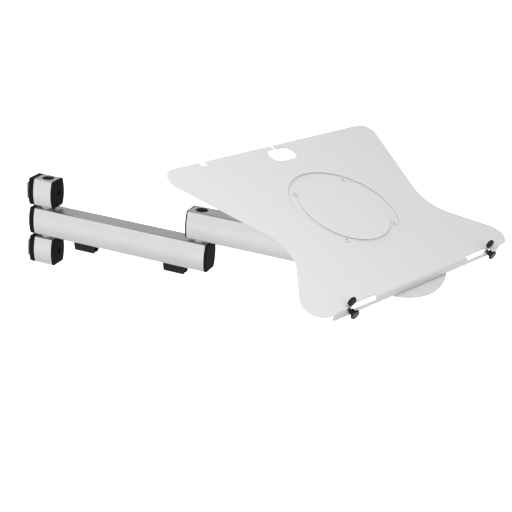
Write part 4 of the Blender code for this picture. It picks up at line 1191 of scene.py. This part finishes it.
def buildFloor():
    rim = (polar(studio["floorRadius"], tau * i / 96) for i in range(96))
    shape = bmesh.new()
    shape.faces.new([shape.verts.new((*point, studio["floorHeight"])) for point in rim])
    floor = looseObject("floor", shape)
    material, tree = newFinish("paleFloor")
    tree.nodes.clear()
    tone = studio["floorColour"]
    grain = noise(tree, texturePlace(tree), 40.0, 2.0)
    colour = toned(tree, grain, (tone, tone, tone), 1.0, 1.004)
    matt = addNode(tree, "ShaderNodeBsdfDiffuse", {"Color": colour})
    flat = texturePlace(tree, (1.0, 1.0, 0.0))
    away = addNode(tree, "ShaderNodeVectorMath", {0: flat}, operation="LENGTH")
    reach = ranged(tree, away.outputs["Value"], *studio["glowSpan"], *studio["glow"])
    rays = addNode(tree, "ShaderNodeLightPath").outputs
    seen = maths(tree, "MAXIMUM", rays["Is Camera Ray"], rays["Is Glossy Ray"])
    seen = maths(tree, "MAXIMUM", seen, rays["Is Transmission Ray"])
    glow = addNode(tree, "ShaderNodeEmission", {"Strength": maths(tree, "MULTIPLY", seen, reach)})
    both = addNode(tree, "ShaderNodeAddShader", {0: matt, 1: glow})
    addNode(tree, "ShaderNodeOutputMaterial", {"Surface": both})
    floor.data.materials.append(material)


# A pale sweep: white at the horizon, brighter in front, softer behind and overhead.
# Matt surfaces are lit by a plain dome instead, which is brightest overhead.
def buildSky():
    world = bpy.data.worlds.new("paleStudio")
    bpy.context.scene.world = world
    world.use_nodes = True
    tree = world.node_tree
    direction = addNode(tree, "ShaderNodeTexCoord").outputs["Generated"]
    height = addNode(tree, "ShaderNodeSeparateXYZ", {"Vector": direction}).outputs["Z"]
    horizon = studio["horizon"]
    behind = ranged(tree, height, *studio["backRamp"], horizon, studio["skyBack"])
    ahead = ranged(tree, height, *studio["frontRamp"], horizon, studio["skyFront"])
    facing = addNode(tree, "ShaderNodeVectorMath", {0: direction, 1: studio["facing"]},
                     operation="DOT_PRODUCT")
    front = ranged(tree, facing.outputs["Value"], *studio["facingRamp"], 0.0, 1.0)
    overhead = ranged(tree, height, *studio["topRamp"], 0.0, 1.0)
    tone = mixed(tree, overhead, mixed(tree, front, behind, ahead), studio["skyTop"])
    rays = addNode(tree, "ShaderNodeLightPath").outputs
    shown = maths(tree, "MAXIMUM", rays["Is Camera Ray"], rays["Is Glossy Ray"])
    dome = ranged(tree, height, *studio["domeRamp"], *studio["dome"])
    light = {"Color": mixed(tree, shown, dome, tone), "Strength": 1.0}
    feed(tree, tree.nodes["Background"], light)


def addLamp(name):
    at, power, size = studio[name]
    lamp = bpy.data.lights.new(name, "AREA")
    lamp.energy = power
    lamp.size = size
    holder = bpy.data.objects.new(name, lamp)
    holder.location = at
    aim = Vector(studio["target"]) - Vector(at)
    holder.rotation_euler = aim.to_track_quat("-Z", "Y").to_euler()
    home.objects.link(holder)


def buildCamera():
    yaw, dip, roll = (radians(turn) for turn in view["turns"])
    look = Vector((-sin(yaw) * cos(dip), cos(yaw) * cos(dip), -sin(dip)))
    level = Vector((cos(yaw), sin(yaw), 0.0))
    upright = level.cross(look)
    right = level * cos(roll) + upright * sin(roll)
    up = upright * cos(roll) - level * sin(roll)
    lens = bpy.data.cameras.new("view")
    lens.lens = view["lens"]
    lens.sensor_width = 36.0
    camera = bpy.data.objects.new("view", lens)
    turn = Matrix((right, up, -look)).transposed().to_4x4()
    camera.matrix_world = moved(*view["at"]) @ turn
    home.objects.link(camera)
    bpy.context.scene.camera = camera


buildFloor()
buildSky()
addLamp("key")
addLamp("fill")
buildCamera()
bpy.context.scene.view_settings.view_transform = "Standard"
print("studio set")
